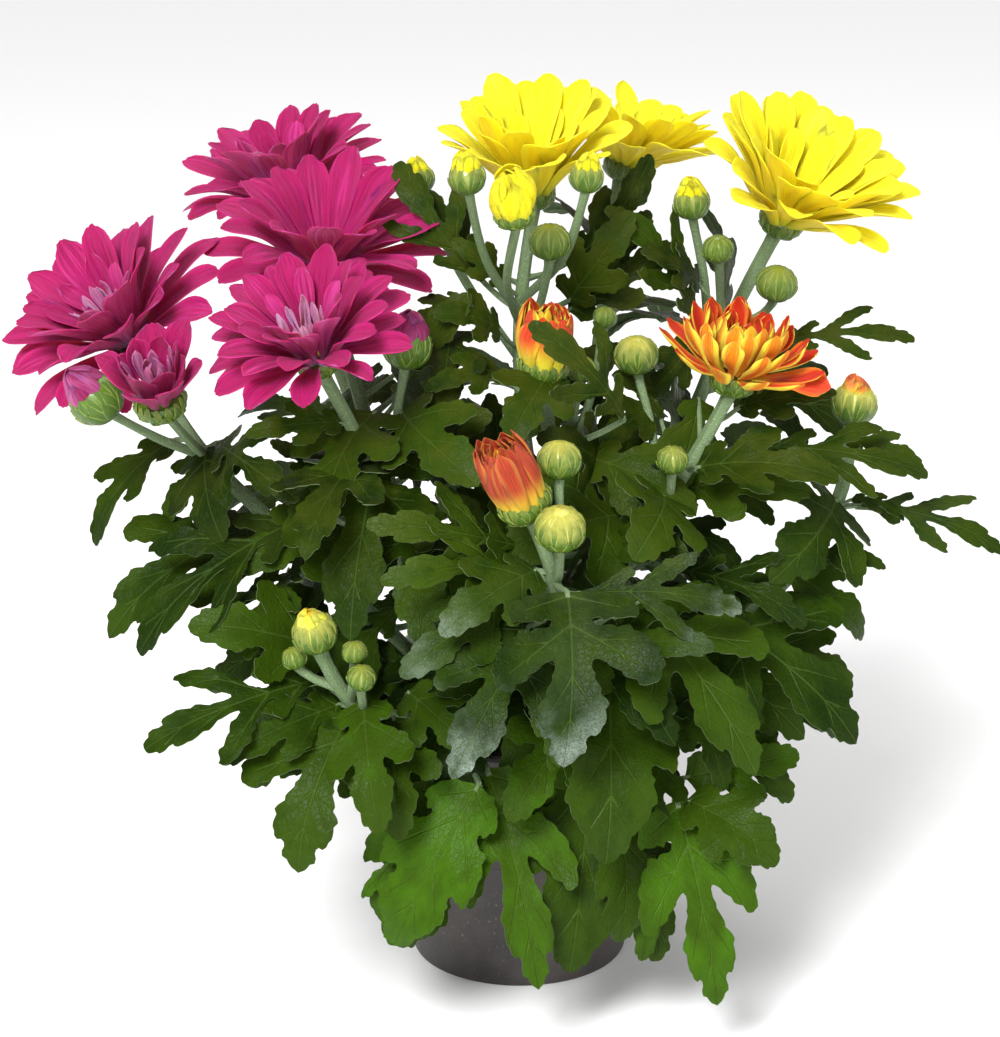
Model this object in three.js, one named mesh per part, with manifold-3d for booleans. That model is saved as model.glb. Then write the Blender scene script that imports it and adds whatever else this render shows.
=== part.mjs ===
// A pot chrysanthemum: three rooted cuttings, magenta, yellow and orange, in one plastic nursery pot.
// Millimetres, +Z up. The origin is the centre of the pot's underside, and the front of the plant is -Y.
import * as THREE from "three";
import { mergeVertices } from "three/addons/utils/BufferGeometryUtils.js";
import Module from "manifold-3d";

const wasm = await Module();
wasm.setup();

// Pot and soil
const potHeight = 82;
const potRimRadius = 50;
const potBaseRadius = 33;
const potWall = 1.3;
const potFloor = 1.6;
const collarHeight = 13;
const collarStep = 1.6;
const drainRadius = 4;
const drainCircle = 22;
const drainCount = 4;
const potSides = 24;
const soilSides = 16;
const soilLevel = 73;
const soilMound = 3;
const gap = 0.3;

// Stems
const shootRadius = 1.9;
const shootSteps = 6;
const stemEnd = 2;
const rootRadius = 2.6;
const rootBottom = 48;
const rootTop = 78;

// Leaves
const leafThickness = 1.4;
const leafBow = 0.1;
const leafFold = 0.16;
const stalkHalf = 0.8;
const bladeStart = 0.1;
const smallLeaf = 42;

// Leaves face up and away from this upright line through the middle of the plant.
const middle = new THREE.Vector3(0, 25, 0);

// Blooms
const petalThickness = 1.3;
const shortPetal = 20;
const petalCup = 0.2;
const cupHeight = 3.6;
const cupRadius = 6.4;
const cupFoot = 2.4;
const cupSides = 7;
const coreRadius = 6.4;
const coreTop = 8;
const discRadius = 4.2;
const firstRing = { radius: 5.6, height: 5 };
const ringStep = { radius: -0.6, height: 1.7 };

// How far the middle of a head's face lies above the foot of its green cup, for each kind and size.
const faceHeight = { bloom: () => 9, opening: (size) => 12 * size, bud: (size) => size };

// Each plant, in its own colour. A head is listed as its kind, its name, the middle of its face, the way
// it faces, its size, its stem's radius and the stem's route from the root up to just below it. A green
// bud has no name. A bare shoot ends in leaves alone. A leaf is listed as the base of its blade, its tip
// and its width against its length.
const plants = {
  magenta: {
    root: [-18, 3],
    heads: [
      ["bloom", "left", [-116, -5, 198], [-0.45, -0.33, 0.83], 1, 1.9,
        [[-18, 3, 78], [-36, -7, 102], [-62, -20, 134], [-91, -20, 164]]],
      ["bloom", "top", [-57, 2, 219], [0.03, -0.25, 0.97], 1, 1.9,
        [[-18, 3, 80], [-26, -6, 112], [-38, -14, 150], [-49, -8, 185]]],
      ["bloom", "front", [-57, -60, 208], [-0.15, -0.48, 0.86], 1, 1.9,
        [[-18, 3, 79], [-28, -22, 106], [-38, -42, 150], [-46, -49, 178]]],
      ["bloom", "back", [-72, 60, 226], [-0.25, -0.1, 0.96], 1, 1.9,
        [[-18, 3, 77], [-30, 20, 108], [-50, 37, 160], [-65, 56, 196]]],
      ["opening", "low", [-101, -60, 199], [-0.1, -0.5, 0.86], 1.1, 1.2,
        [[-91, -20, 164], [-94, -38, 174]]],
      ["bud", "left", [-119, -48, 190], [-0.6, -0.3, 0.75], 8, 1.2, [[-91, -20, 164], [-103, -32, 173]]],
      ["bud", "right", [-32, -40, 203], [0.1, -0.1, 1], 7.2, 1.2, [[-38, -42, 150], [-36, -41, 176]]],
    ],
    bare: [],
    leaves: [
      [[-79, -22, 144], [-119, -42, 116], 0.75],
      [[-58, -38, 153], [-108, -60, 118], 0.65],
      [[-56, -26, 136], [-96, -42, 128], 0.7],
      [[-91, -24, 168], [-84, -50, 148], 1.0],
      [[-84, -13, 163], [-104, -20, 144], 0.9],
      [[-102, -8, 166], [-125, -18, 136], 0.6],
      [[-41, -42, 184], [-54, -72, 162], 1.0],
      [[-50, -53, 184], [-76, -62, 183], 0.6],
      [[-40, -46, 174], [-47, -82, 130], 0.8],
      [[-48, -34, 144], [-82, -52, 140], 0.8],
      [[-34, -42, 184], [-12, -74, 172], 0.9],
      [[-30, -46, 156], [-27, -84, 128], 0.8],
      [[-34, -20, 184], [-14, -26, 214], 0.8],
      [[-32, -22, 160], [-8, -44, 184], 0.8],
      [[-60, 24, 142], [-100, 42, 118], 0.75],
      [[-42, 38, 126], [-58, 84, 96], 0.75],
      [[-64, 46, 182], [-94, 64, 162], 0.75],
      [[-52, 42, 156], [-62, 84, 146], 0.75],
      [[-34, 20, 104], [-76, 38, 74], 0.75],
      [[-44, -8, 108], [-94, -8, 88], 0.75],
      [[-24, 18, 94], [-40, 64, 60], 0.75],
      [[-34, -20, 100], [-80, -34, 66], 0.75],
    ],
  },
  yellow: {
    root: [12, 16],
    heads: [
      ["bloom", "top", [3, -2, 243], [-0.1, -0.25, 0.96], 1, 1.9,
        [[12, 16, 78], [8, 6, 120], [1, -7, 170], [0, -6, 205]]],
      ["bloom", "back", [34, 50, 240], [0.4, 0.1, 0.9], 1, 1.9,
        [[12, 16, 80], [18, 28, 122], [24, 40, 180]]],
      ["bloom", "right", [77, -5, 235], [0.3, -0.35, 0.89], 1, 1.9,
        [[12, 16, 79], [30, 14, 120], [50, 8, 165], [62, 2, 200]]],
      ["opening", "front", [-3, -62, 251], [-0.15, -0.3, 0.92], 0.85, 1.2, [[0, -6, 200], [-4, -34, 219]]],
      ["bud", "left", [-15, -46, 252], [-0.1, -0.1, 1], 5.2, 1.2, [[0, -6, 203], [-10, -26, 224]]],
      ["bud", "far", [-30, 20, 238], [-0.2, 0.1, 1], 4.8, 1.2, [[1, -7, 188], [-16, 6, 210]]],
      ["bud", "middle", [18, -36, 250], [0.1, 0, 1], 4.8, 1.2, [[0, -6, 207], [12, -22, 224]]],
      ["bud", "right", [49, -8, 237], [-0.1, -0.1, 1], 5.4, 1.2, [[56, 5, 184], [54, 1, 210]]],
      ["bud", "", [8, -28, 230], [0, -0.2, 1], 6, 1.2, [[0, -6, 196], [5, -18, 208]]],
      ["bud", "", [56, -20, 226], [-0.1, -0.3, 1], 4.6, 1.2, [[60, 4, 194], [58, -8, 208]]],
      ["bud", "", [73, -20, 216], [0.1, -0.3, 1], 6, 1.2, [[61, 2, 198], [69, -8, 203]]],
    ],
    bare: [],
    leaves: [
      [[-10, -6, 212], [-36, 4, 246], 0.7],
      [[-6, -20, 202], [-27, -32, 217], 0.9],
      [[14, -8, 208], [32, -16, 236], 0.75],
      [[16, 2, 218], [38, 6, 248], 0.6],
      [[52, -2, 198], [24, -12, 236], 0.6],
      [[60, 12, 199], [50, 22, 232], 0.8],
      [[14, -4, 204], [46, 2, 222], 0.6],
      [[74, 4, 192], [116, 0, 194], 0.5],
      [[-4, -8, 158], [-30, -22, 180], 0.8],
      [[8, 4, 136], [42, -12, 152], 0.8],
      [[48, 4, 166], [26, -24, 190], 0.8],
      [[14, 4, 149], [36, -18, 170], 0.8],
      [[8, -4, 176], [30, -14, 196], 0.8],
      [[48, 6, 150], [68, -18, 162], 0.8],
      [[20, 42, 152], [22, 90, 132], 0.75],
      [[30, 48, 192], [46, 84, 178], 0.75],
      [[20, 36, 122], [42, 84, 96], 0.75],
      [[24, 44, 212], [8, 76, 216], 0.75],
      [[54, 14, 152], [97, 38, 134], 0.75],
      [[38, 18, 118], [82, 44, 92], 0.75],
      [[62, 8, 180], [90, 38, 182], 0.75],
      [[24, 22, 98], [60, 60, 64], 0.75],
      [[14, 28, 104], [4, 76, 68], 0.75],
      [[30, 8, 92], [80, 8, 62], 0.75],
    ],
  },
  orange: {
    root: [8, -16],
    heads: [
      ["bloom", "right", [60, -45, 199], [0.15, -0.12, 0.98], 1, 1.9,
        [[8, -16, 79], [22, -28, 115], [38, -38, 150], [50, -41, 172]]],
      ["opening", "middle", [7, -44, 207], [0.1, -0.15, 1], 1.1, 1.9,
        [[8, -16, 80], [9, -28, 130], [9, -36, 165]]],
      ["opening", "front", [-3, -88, 180], [-0.35, -0.3, 0.87], 1.15, 1.9,
        [[8, -16, 78], [10, -40, 100], [10, -66, 130], [8, -80, 150]]],
      ["bud", "far", [97, -15, 179], [0.1, 0, 1], 6.8, 1.9,
        [[8, -16, 77], [45, -24, 98], [80, -24, 130], [93, -20, 152]]],
      ["bud", "low", [-57, -80, 132], [-0.2, -0.3, 1], 6.4, 1.9,
        [[8, -16, 76], [-15, -40, 87], [-35, -58, 98], [-48, -70, 108]]],
      ["bud", "", [33, -24, 196], [-0.1, -0.2, 1], 6.5, 1.2, [[38, -38, 150], [38, -32, 172]]],
      ["bud", "", [10, -78, 181], [0, -0.1, 1], 6.2, 1.2, [[8, -80, 150], [10, -79, 162]]],
      ["bud", "", [10, -95, 167], [0, -0.4, 1], 7.1, 1.2, [[9, -76, 144], [10, -87, 152]]],
      ["bud", "", [42, -55, 174], [0, -0.4, 1], 4.5, 1.2, [[41, -40, 155], [42, -49, 162]]],
      ["bud", "", [24, -20, 206], [0.1, -0.1, 1], 3.5, 1.2, [[9, -35, 162], [19, -30, 182]]],
      ["bud", "", [17, -32, 194], [0.1, -0.2, 1], 4.4, 1.2, [[9, -36, 168], [14, -35, 178]]],
      ["bud", "", [-46, -82, 127], [0, -0.3, 1], 3.6, 1.2, [[-48, -70, 108], [-47, -77, 115]]],
      ["bud", "", [-44, -86, 121], [0.1, -0.4, 1], 4.1, 1.2, [[-45, -68, 106], [-44, -79, 110]]],
      ["bud", "", [-63, -76, 123], [-0.3, -0.3, 1], 3.6, 1.2, [[-52, -73, 113], [-58, -74, 116]]],
    ],
    bare: [
      [[8, -16, 77], [22, -36, 88], [34, -54, 88], [44, -67, 80]],
    ],
    leaves: [
      [[12, -92, 148], [11, -114, 106], 0.95],
      [[2, -84, 135], [-19, -108, 100], 0.75],
      [[-2, -78, 142], [-33, -94, 124], 0.7],
      [[14, -88, 146], [60, -84, 140], 0.6],
      [[40, -50, 162], [30, -86, 155], 1.0],
      [[34, -66, 136], [64, -96, 96], 0.75],
      [[20, -78, 128], [52, -98, 134], 0.6],
      [[51, -50, 128], [95, -66, 93], 0.85],
      [[40, -36, 114], [82, -50, 88], 0.8],
      [[47, -64, 82], [80, -56, 86], 0.75],
      [[47, -71, 78], [72, -84, 64], 0.85],
      [[44, -71, 78], [56, -84, 20], 0.6],
      [[34, -50, 80], [39, -68, 26], 0.65],
      [[20, -54, 88], [14, -75, 26], 0.7],
      [[24, -68, 120], [23, -101, 72], 0.8],
      [[-10, -64, 85], [5, -86, 26], 0.75],
      [[-16, -60, 80], [-36, -66, 30], 0.9],
      [[18, -62, 102], [-4, -90, 80], 0.8],
      [[6, -70, 132], [10, -100, 100], 0.8],
      [[-32, -64, 108], [-12, -86, 98], 0.8],
      [[-36, -68, 102], [-34, -90, 74], 0.9],
      [[4, -80, 150], [-22, -102, 139], 0.8],
      [[-48, -73, 105], [-62, -94, 66], 0.95],
      [[-56, -64, 112], [-105, -80, 97], 0.7],
      [[-56, -56, 118], [-93, -70, 130], 0.85],
      [[-51, -68, 106], [-84, -82, 94], 0.65],
      [[29, -50, 184], [2, -66, 216], 0.65],
      [[62, -36, 184], [97, -42, 192], 0.6],
      [[66, -36, 172], [116, -38, 164], 0.6],
      [[49, -50, 170], [88, -62, 170], 0.65],
      [[98, -21, 150], [139, -36, 140], 0.65],
      [[92, -23, 152], [70, -56, 138], 1.0],
      [[85, -25, 136], [106, -32, 134], 0.7],
      [[24, -34, 164], [4, -54, 180], 0.9],
      [[8, -42, 196], [-4, -66, 182], 1.0],
      [[44, -36, 158], [82, -48, 162], 0.7],
      [[44, -44, 138], [80, -64, 128], 0.7],
      [[0, -66, 152], [-42, -88, 166], 0.6],
      [[2, -68, 147], [-38, -96, 152], 0.6],
      [[50, -24, 100], [96, -20, 76], 0.75],
      [[16, -36, 140], [46, -70, 152], 0.75],
      [[10, -36, 158], [-14, -64, 172], 0.8],
      [[8, -44, 112], [-24, -76, 112], 0.85],
      [[12, -46, 106], [42, -84, 104], 0.85],
      [[-22, -48, 92], [-52, -64, 76], 0.75],
    ],
  },
};

// Petals in a flower, ring by ring: how many, length, width, rise in degrees and bow (+ tips turn down).
const petalRings = {
  magenta: [[10, 28, 12, 10, 0.1], [8, 26, 12, 34, 0.08], [5, 18, 9, 58, 0]],
  yellow: [[10, 28, 12.5, 32, -0.06], [8, 26, 12, 54, -0.08], [5, 18, 9, 70, 0]],
  orange: [[9, 21, 9, 26, -0.1], [8, 20, 8, 48, -0.14], [5, 14, 7, 70, 0]],
};
const openingPetals = [7, 17, 5.5, 80, -0.14];

const finishes = {
  pot: { color: 0x3b3433, roughness: 0.6 },
  soil: { color: 0x2e2118, roughness: 1 },
  leaf: { color: 0x33551f, roughness: 0.5 },
  magenta: { color: 0xb5127e, roughness: 0.6 },
  yellow: { color: 0xf6df12, roughness: 0.6 },
  orange: { color: 0xd9641a, roughness: 0.6 },
  disc: { color: 0xc9c23a, roughness: 0.8 },
};

const vector = (list) => new THREE.Vector3(...list);

// Turns a closed three.js geometry into a solid that can be joined and cut.
function solid(geometry) {
  const plain = geometry.index ? geometry.toNonIndexed() : geometry.clone();
  plain.deleteAttribute("normal");
  plain.deleteAttribute("uv");
  const merged = mergeVertices(plain, 1e-4);
  return new wasm.Manifold(
    new wasm.Mesh({
      numProp: 3,
      vertProperties: new Float32Array(merged.attributes.position.array),
      triVerts: new Uint32Array(merged.index.array),
    }),
  );
}

// Turns a solid back into a geometry, keeping its largest body.
function geometryOf(shape) {
  const bodies = shape.decompose();
  bodies.sort((a, b) => b.volume() - a.volume());
  const mesh = bodies[0].getMesh();
  const geometry = new THREE.BufferGeometry();
  geometry.setAttribute("position", new THREE.BufferAttribute(new Float32Array(mesh.vertProperties), 3));
  geometry.setIndex(new THREE.BufferAttribute(new Uint32Array(mesh.triVerts), 1));
  return geometry;
}

// Turns a profile of [radius, height] points round +Z.
function turned(profile, sides) {
  const points = profile.map(([radius, height]) => new THREE.Vector2(radius, height));
  return new THREE.LatheGeometry(points, sides).rotateX(Math.PI / 2);
}

// Stands a solid on a point, with its +Z along an axis.
function placement(point, axis) {
  const lean = new THREE.Quaternion().setFromUnitVectors(new THREE.Vector3(0, 0, 1), axis);
  return new THREE.Matrix4().compose(point, lean, new THREE.Vector3(1, 1, 1));
}

// A head's seat is the foot of its cup, and its stem ends inside the cup, in line with it.
function headOf([kind, name, face, toward, size, radius, route]) {
  const axis = vector(toward).normalize();
  const seat = vector(face).addScaledVector(axis, -faceHeight[kind](size));
  const end = seat.clone().addScaledVector(axis, stemEnd);
  return { kind, name, axis, seat, size, radius, points: [...route.map(vector), seat, end] };
}

// A stem with a few flat sides, in equal straight steps along its curve.
function stem(points, radius, sides, steps) {
  const section = new THREE.Shape();
  for (let corner = 0; corner < sides; corner += 1) {
    const angle = (corner / sides) * Math.PI * 2;
    const point = [radius * Math.cos(angle), radius * Math.sin(angle)];
    if (corner === 0) section.moveTo(...point);
    else section.lineTo(...point);
  }
  const path = smooth(points);
  return solid(new THREE.ExtrudeGeometry(section, { steps, bevelEnabled: false, extrudePath: path }));
}

function smooth(points) {
  return new THREE.CatmullRomCurve3(points, false, "catmullrom", 0.5);
}

// Where a leaf leaves the shoots: the nearest point on one of their centre lines, a little lower down.
function leafNode(shoots, base) {
  const samples = 60;
  const slide = 0.45;
  let nearest = null;
  for (const points of shoots) {
    const bends = smooth(points).getSpacedPoints(shootSteps);
    const line = new THREE.CurvePath();
    for (let bend = 0; bend < shootSteps; bend += 1) {
      line.add(new THREE.LineCurve3(bends[bend], bends[bend + 1]));
    }
    for (let index = 0; index <= samples; index += 1) {
      const distance = line.getPoint(index / samples).distanceTo(base);
      if (!nearest || distance < nearest.distance) nearest = { line, index, distance };
    }
  }
  const back = Math.round((slide * nearest.distance * samples) / nearest.line.getLength());
  return nearest.line.getPoint(Math.max(nearest.index - back, 0) / samples);
}

// Half of a blade, from its root to its tip: points on the rim (r) as [along, across], points down the
// middle (s), points inside the lobes (l), and the triangles between them. The other half mirrors it. A
// leaf's first point, at -1, is on the stem, so that its stalk is part of the blade.
const leafPattern = {
  rim: [[-1, 0.01], [0, 0.02], [0.14, 0.27], [0.25, 0.11], [0.36, 0.34], [0.54, 0.45], [0.51, 0.13],
    [0.74, 0.22], [1, 0]],
  spine: [0.03, 0.25, 0.52, 0.78],
  lobe: [[0.42, 0.26]],
  faces: ["r0 r1 s0", "r1 r2 s0", "r2 s1 s0", "r2 r3 s1", "r3 r4 l0", "r3 l0 s1", "r4 r5 l0", "r5 r6 l0",
    "r6 s2 l0", "l0 s2 s1", "r6 r7 s2", "r7 s3 s2", "r7 r8 s3"],
};
const smallLeafPattern = {
  rim: [[-1, 0.01], [0, 0.03], [0.2, 0.26], [0.5, 0.42], [0.52, 0.15], [1, 0]],
  spine: [0.05, 0.5],
  lobe: [[0.34, 0.23]],
  faces: ["r0 r1 s0", "r1 r2 l0", "r1 l0 s0", "r2 r3 l0", "r3 r4 l0", "r4 s1 l0", "l0 s1 s0", "r4 r5 s1"],
};
const petalPattern = {
  rim: [[0, 0.12], [0.58, 0.5], [1, 0.24]],
  spine: [0.26, 0.8],
  lobe: [],
  faces: ["r0 r1 s0", "r1 s1 s0", "r1 r2 s1"],
};
const shortPetalPattern = {
  rim: [[0, 0.16], [1, 0.4]],
  spine: [0.6],
  lobe: [],
  faces: ["r0 r1 s0"],
};

// A thin blade that is thickest down its middle. place(along, across) gives a point and its normal.
function blade(pattern, thickness, place) {
  const positions = [];
  const index = new Map();
  const add = (name, point) => {
    index.set(name, positions.length / 3);
    positions.push(point.x, point.y, point.z);
  };
  const addPair = (name, along, across) => {
    const { point, normal } = place(along, across);
    add(`${name}+`, point.clone().addScaledVector(normal, thickness / 2));
    add(`${name}-`, point.clone().addScaledVector(normal, -thickness / 2));
  };
  pattern.rim.forEach(([along, across], number) => {
    for (const side of across > 0 ? [1, -1] : [0]) {
      add(`r${number}${side < 0 ? "L" : ""}`, place(along, across * side).point);
    }
  });
  pattern.spine.forEach((along, number) => addPair(`s${number}`, along, 0));
  pattern.lobe.forEach(([along, across], number) => {
    addPair(`l${number}`, along, across);
    addPair(`l${number}L`, along, -across);
  });
  const triangles = [];
  const corner = (name, left, face) => {
    const sided = left && index.has(`${name}L`) ? `${name}L` : name;
    const lobed = left && index.has(`${name}L${face}`) ? `${name}L` : sided;
    return index.get(lobed) ?? index.get(`${lobed}${face}`);
  };
  const addFace = (a, b, c) => triangles.push(a, b, c);
  for (const face of ["+", "-"]) {
    for (const left of [false, true]) {
      for (const names of pattern.faces) {
        const [a, b, c] = names.split(" ").map((name) => corner(name, left, face));
        if (left === (face === "-")) addFace(a, b, c);
        else addFace(a, c, b);
      }
    }
    const root = [index.get("r0"), index.get(`s0${face}`), index.get("r0L")];
    const last = pattern.rim.length - 1;
    const top = `s${pattern.spine.length - 1}${face}`;
    const tip = [index.get(`r${last}L`), index.get(top), index.get(`r${last}`)];
    for (const end of pattern.rim[last][1] > 0 ? [root, tip] : [root]) {
      if (face === "+") addFace(...end);
      else addFace(...end.reverse());
    }
  }
  const geometry = new THREE.BufferGeometry();
  geometry.setAttribute("position", new THREE.BufferAttribute(new Float32Array(positions), 3));
  geometry.setIndex(triangles);
  return solid(geometry);
}

// A lobed leaf: its stalk runs from the stem to the blade's base, and its blade arches to the tip.
function leaf(shoots, [base, tip, width]) {
  const from = vector(base);
  const to = vector(tip);
  const node = leafNode(shoots, from);
  const reach = to.clone().sub(from);
  const length = reach.length();
  const forward = reach.clone().normalize();
  const outward = from.clone().add(to).multiplyScalar(0.5).sub(middle).setZ(0).normalize();
  const normal = outward.add(new THREE.Vector3(0, 0, 1));
  normal.addScaledVector(forward, -normal.dot(forward)).normalize();
  const side = forward.clone().cross(normal);
  const bend = side.clone().cross(from.clone().sub(node)).normalize().add(normal).normalize();
  const place = (along, across) => {
    const half = across === 0 ? 0 : Math.max(Math.abs(across) * length * width, stalkHalf);
    const point = along < 0 ? from.clone().lerp(node, -along) : from.clone().addScaledVector(reach, along);
    const rise = along < 0 ? 0 : leafBow * length * 4 * along * (1 - along) + leafFold * half;
    point.addScaledVector(side, half * Math.sign(across)).addScaledVector(normal, rise);
    return { point, normal: along < bladeStart ? bend : normal };
  };
  return blade(length < smallLeaf ? smallLeafPattern : leafPattern, leafThickness, place);
}

// A ring of petals round +Z, from a radius and a height.
function petalRing([count, length, width, rise, bow], startRadius, startHeight, phase) {
  const angle = THREE.MathUtils.degToRad(rise);
  const petals = [];
  for (let number = 0; number < count; number += 1) {
    const turn = ((number + phase) / count) * Math.PI * 2;
    const radial = new THREE.Vector3(Math.cos(turn), Math.sin(turn), 0);
    const side = new THREE.Vector3(Math.sin(turn), -Math.cos(turn), 0);
    const forward = radial.clone().multiplyScalar(Math.cos(angle)).setZ(Math.sin(angle));
    const normal = radial.clone().multiplyScalar(-Math.sin(angle)).setZ(Math.cos(angle));
    const root = radial.clone().multiplyScalar(startRadius).setZ(startHeight);
    const place = (along, across) => {
      const rise = bow * length * 4 * along * (1 - along) + petalCup * Math.abs(across) * width;
      const point = root.clone().addScaledVector(forward, along * length);
      point.addScaledVector(side, across * width).addScaledVector(normal, rise);
      return { point, normal };
    };
    petals.push(blade(length < shortPetal ? shortPetalPattern : petalPattern, petalThickness, place));
  }
  return petals;
}

// The green cup under a flower, with the stem's end inside it.
function cup(point, axis) {
  const profile = [[0, -1], [cupFoot, -1], [cupRadius, cupHeight], [0, cupHeight]];
  return solid(turned(profile, cupSides).applyMatrix4(placement(point, axis)));
}

// A bud's green ball. A closed one comes to a point, and an open one has a flat seat for its coloured tip.
function bud(point, axis, radius, closed) {
  const profile = [[0, 0], [0.74, 0.32], [1, 1], [0.82, 1.5], [0, closed ? 1.9 : 1.5]];
  const scaled = profile.map(([across, along]) => [across * radius, along * radius]);
  return solid(turned(scaled, cupSides).applyMatrix4(placement(point, axis)));
}

function budTip(radius) {
  const profile = [[0, 1.5], [0.8, 1.5], [0.55, 2.1], [0, 2.35]];
  const raised = profile.map(([across, along]) => [across * radius, along * radius + gap]);
  return solid(turned(raised, 10));
}

// An open flower on its cup: rings of petals round a core, each ring higher and half a petal on.
function fullBloom(rings) {
  const foot = cupHeight + gap;
  const core = solid(turned([[0, foot], [coreRadius, foot], [coreRadius, coreTop], [0, coreTop]], 9));
  const petals = rings.flatMap((ring, level) => {
    const radius = firstRing.radius + ringStep.radius * level;
    const height = firstRing.height + ringStep.height * level;
    return petalRing(ring, radius, height, level / 2);
  });
  return wasm.Manifold.union([core, ...petals]);
}

// A flower that is still opening: petals standing round a closed heart.
function openingBloom(scale) {
  const profile = [[0, cupHeight + gap], [4.6, cupHeight + gap], [6, 9], [4.5, 16], [0, 18]];
  const core = solid(turned(profile.map(([r, z]) => [r * scale, z]), 8));
  const [count, length, width, rise, bow] = openingPetals;
  const outer = petalRing([count, length * scale, width * scale, rise, bow], 4.4 * scale, 5, 0);
  return wasm.Manifold.union([core, ...outer]);
}

function disc() {
  const base = coreTop + gap;
  return solid(turned([[0, base], [discRadius, base], [0.8 * discRadius, base + 1.5], [0, base + 2.2]], 8));
}

// The pot's outside radius at a height, below the collar.
function potRadius(height) {
  return potBaseRadius + ((potRimRadius - collarStep - potBaseRadius) * height) / potHeight;
}

function pot() {
  const collarFoot = potHeight - collarHeight;
  const profile = [
    [0, 0],
    [potBaseRadius, 0],
    [potRadius(collarFoot), collarFoot],
    [potRadius(collarFoot) + collarStep, collarFoot],
    [potRimRadius, potHeight],
    [potRimRadius - potWall, potHeight],
    [potRadius(collarFoot) - potWall, collarFoot],
    [potRadius(potFloor) - potWall, potFloor],
    [0, potFloor],
  ];
  let shape = solid(turned(profile, potSides));
  for (let hole = 0; hole < drainCount; hole += 1) {
    const angle = ((hole + 0.5) / drainCount) * Math.PI * 2;
    const cutter = new THREE.CylinderGeometry(drainRadius, drainRadius, 3 * potFloor, 8);
    cutter.rotateX(Math.PI / 2);
    cutter.translate(drainCircle * Math.cos(angle), drainCircle * Math.sin(angle), potFloor / 2);
    shape = shape.subtract(solid(cutter));
  }
  return shape;
}

// The soil fills the pot to just under its rim, with a plain hole for each root.
function soil(roots) {
  const inner = (height) => potRadius(height) - potWall - 2 * gap;
  const bottom = potFloor + gap;
  const collarFoot = potHeight - collarHeight;
  const profile = [
    [0, bottom],
    [inner(bottom), bottom],
    [inner(collarFoot), collarFoot],
    [inner(collarFoot), soilLevel - 2],
    [0.7 * inner(soilLevel), soilLevel],
    [0.35 * inner(soilLevel), soilLevel + soilMound / 2],
    [0, soilLevel + soilMound],
  ];
  let shape = solid(turned(profile, soilSides));
  for (const [x, y] of roots) {
    const radius = rootRadius + 2 * gap;
    const bottom = rootBottom - gap;
    const length = soilLevel + 2 * soilMound - bottom;
    const hole = new THREE.CylinderGeometry(radius, radius, length, 12);
    hole.rotateX(Math.PI / 2).translate(x, y, bottom + length / 2);
    shape = shape.subtract(solid(hole));
  }
  return shape;
}

const chrysanthemum = new THREE.Group();

function addMesh(name, shape, finish, stand) {
  const mesh = new THREE.Mesh(geometryOf(shape), new THREE.MeshStandardMaterial(finishes[finish]));
  mesh.name = name;
  if (stand) mesh.applyMatrix4(stand);
  chrysanthemum.add(mesh);
}

addMesh("pot", pot(), "pot");
addMesh("soil", soil(Object.values(plants).map((plant) => plant.root)), "soil");

for (const [colour, plant] of Object.entries(plants)) {
  const [rootX, rootY] = plant.root;
  const foot = [new THREE.Vector3(rootX, rootY, rootBottom), new THREE.Vector3(rootX, rootY, rootTop + 3)];
  const heads = plant.heads.map(headOf);
  const bare = plant.bare.map((route) => route.map(vector));
  const leading = heads.filter((head) => head.radius === shootRadius).map((head) => head.points);
  const shoots = [...leading, ...bare];
  const green = [stem(foot, rootRadius, 6, 1)];
  green.push(...bare.map((points) => stem(points, shootRadius, 5, shootSteps)));
  green.push(...plant.leaves.map((row) => leaf(shoots, row)));
  for (const { kind, name, axis, seat, size, radius, points } of heads) {
    green.push(radius === shootRadius ? stem(points, radius, 5, shootSteps) : stem(points, radius, 4, 3));
    const stand = placement(seat, axis);
    if (kind === "bud") {
      green.push(bud(seat, axis, size, name === ""));
      if (name) addMesh(`bud_tip_${colour}_${name}`, budTip(size), colour, stand);
    } else {
      green.push(cup(seat, axis));
      const petals = kind === "bloom" ? fullBloom(petalRings[colour]) : openingBloom(size);
      addMesh(`${kind}_${colour}_${name}`, petals, colour, stand);
      if (kind === "bloom") addMesh(`disc_${colour}_${name}`, disc(), "disc", stand);
    }
  }
  addMesh(`plant_${colour}`, wasm.Manifold.union(green), "leaf");
}

export default chrysanthemum;
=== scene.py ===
"""A pot chrysanthemum: three leafy plants with magenta, yellow and orange flowers in a nursery pot.

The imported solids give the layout: stems, leaves, petals and buds in few faces. Each of them is
replaced here by a finer piece of the same form in the same place. Tables and sizes are in millimetres,
and meshes in metres. +Z is up and the front of the plant faces -Y.
"""

import math

import bpy
import numpy as np
from mathutils import Euler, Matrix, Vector
from mathutils.geometry import delaunay_2d_cdt


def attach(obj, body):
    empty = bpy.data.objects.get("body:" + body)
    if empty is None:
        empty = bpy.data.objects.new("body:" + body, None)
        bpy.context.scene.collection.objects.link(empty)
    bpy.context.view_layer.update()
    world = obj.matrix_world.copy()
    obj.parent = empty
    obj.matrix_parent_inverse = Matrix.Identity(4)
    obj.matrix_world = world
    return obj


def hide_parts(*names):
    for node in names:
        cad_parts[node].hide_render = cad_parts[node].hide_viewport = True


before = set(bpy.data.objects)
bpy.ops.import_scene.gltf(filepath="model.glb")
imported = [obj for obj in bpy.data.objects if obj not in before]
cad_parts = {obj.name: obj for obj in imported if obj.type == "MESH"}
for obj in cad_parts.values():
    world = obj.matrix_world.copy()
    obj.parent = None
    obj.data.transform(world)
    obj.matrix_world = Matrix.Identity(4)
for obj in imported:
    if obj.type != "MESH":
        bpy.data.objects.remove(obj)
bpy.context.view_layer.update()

METRES = 0.001
SHARP_EDGE = math.radians(50)
POT_SHARP_EDGE = math.radians(35)
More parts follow.
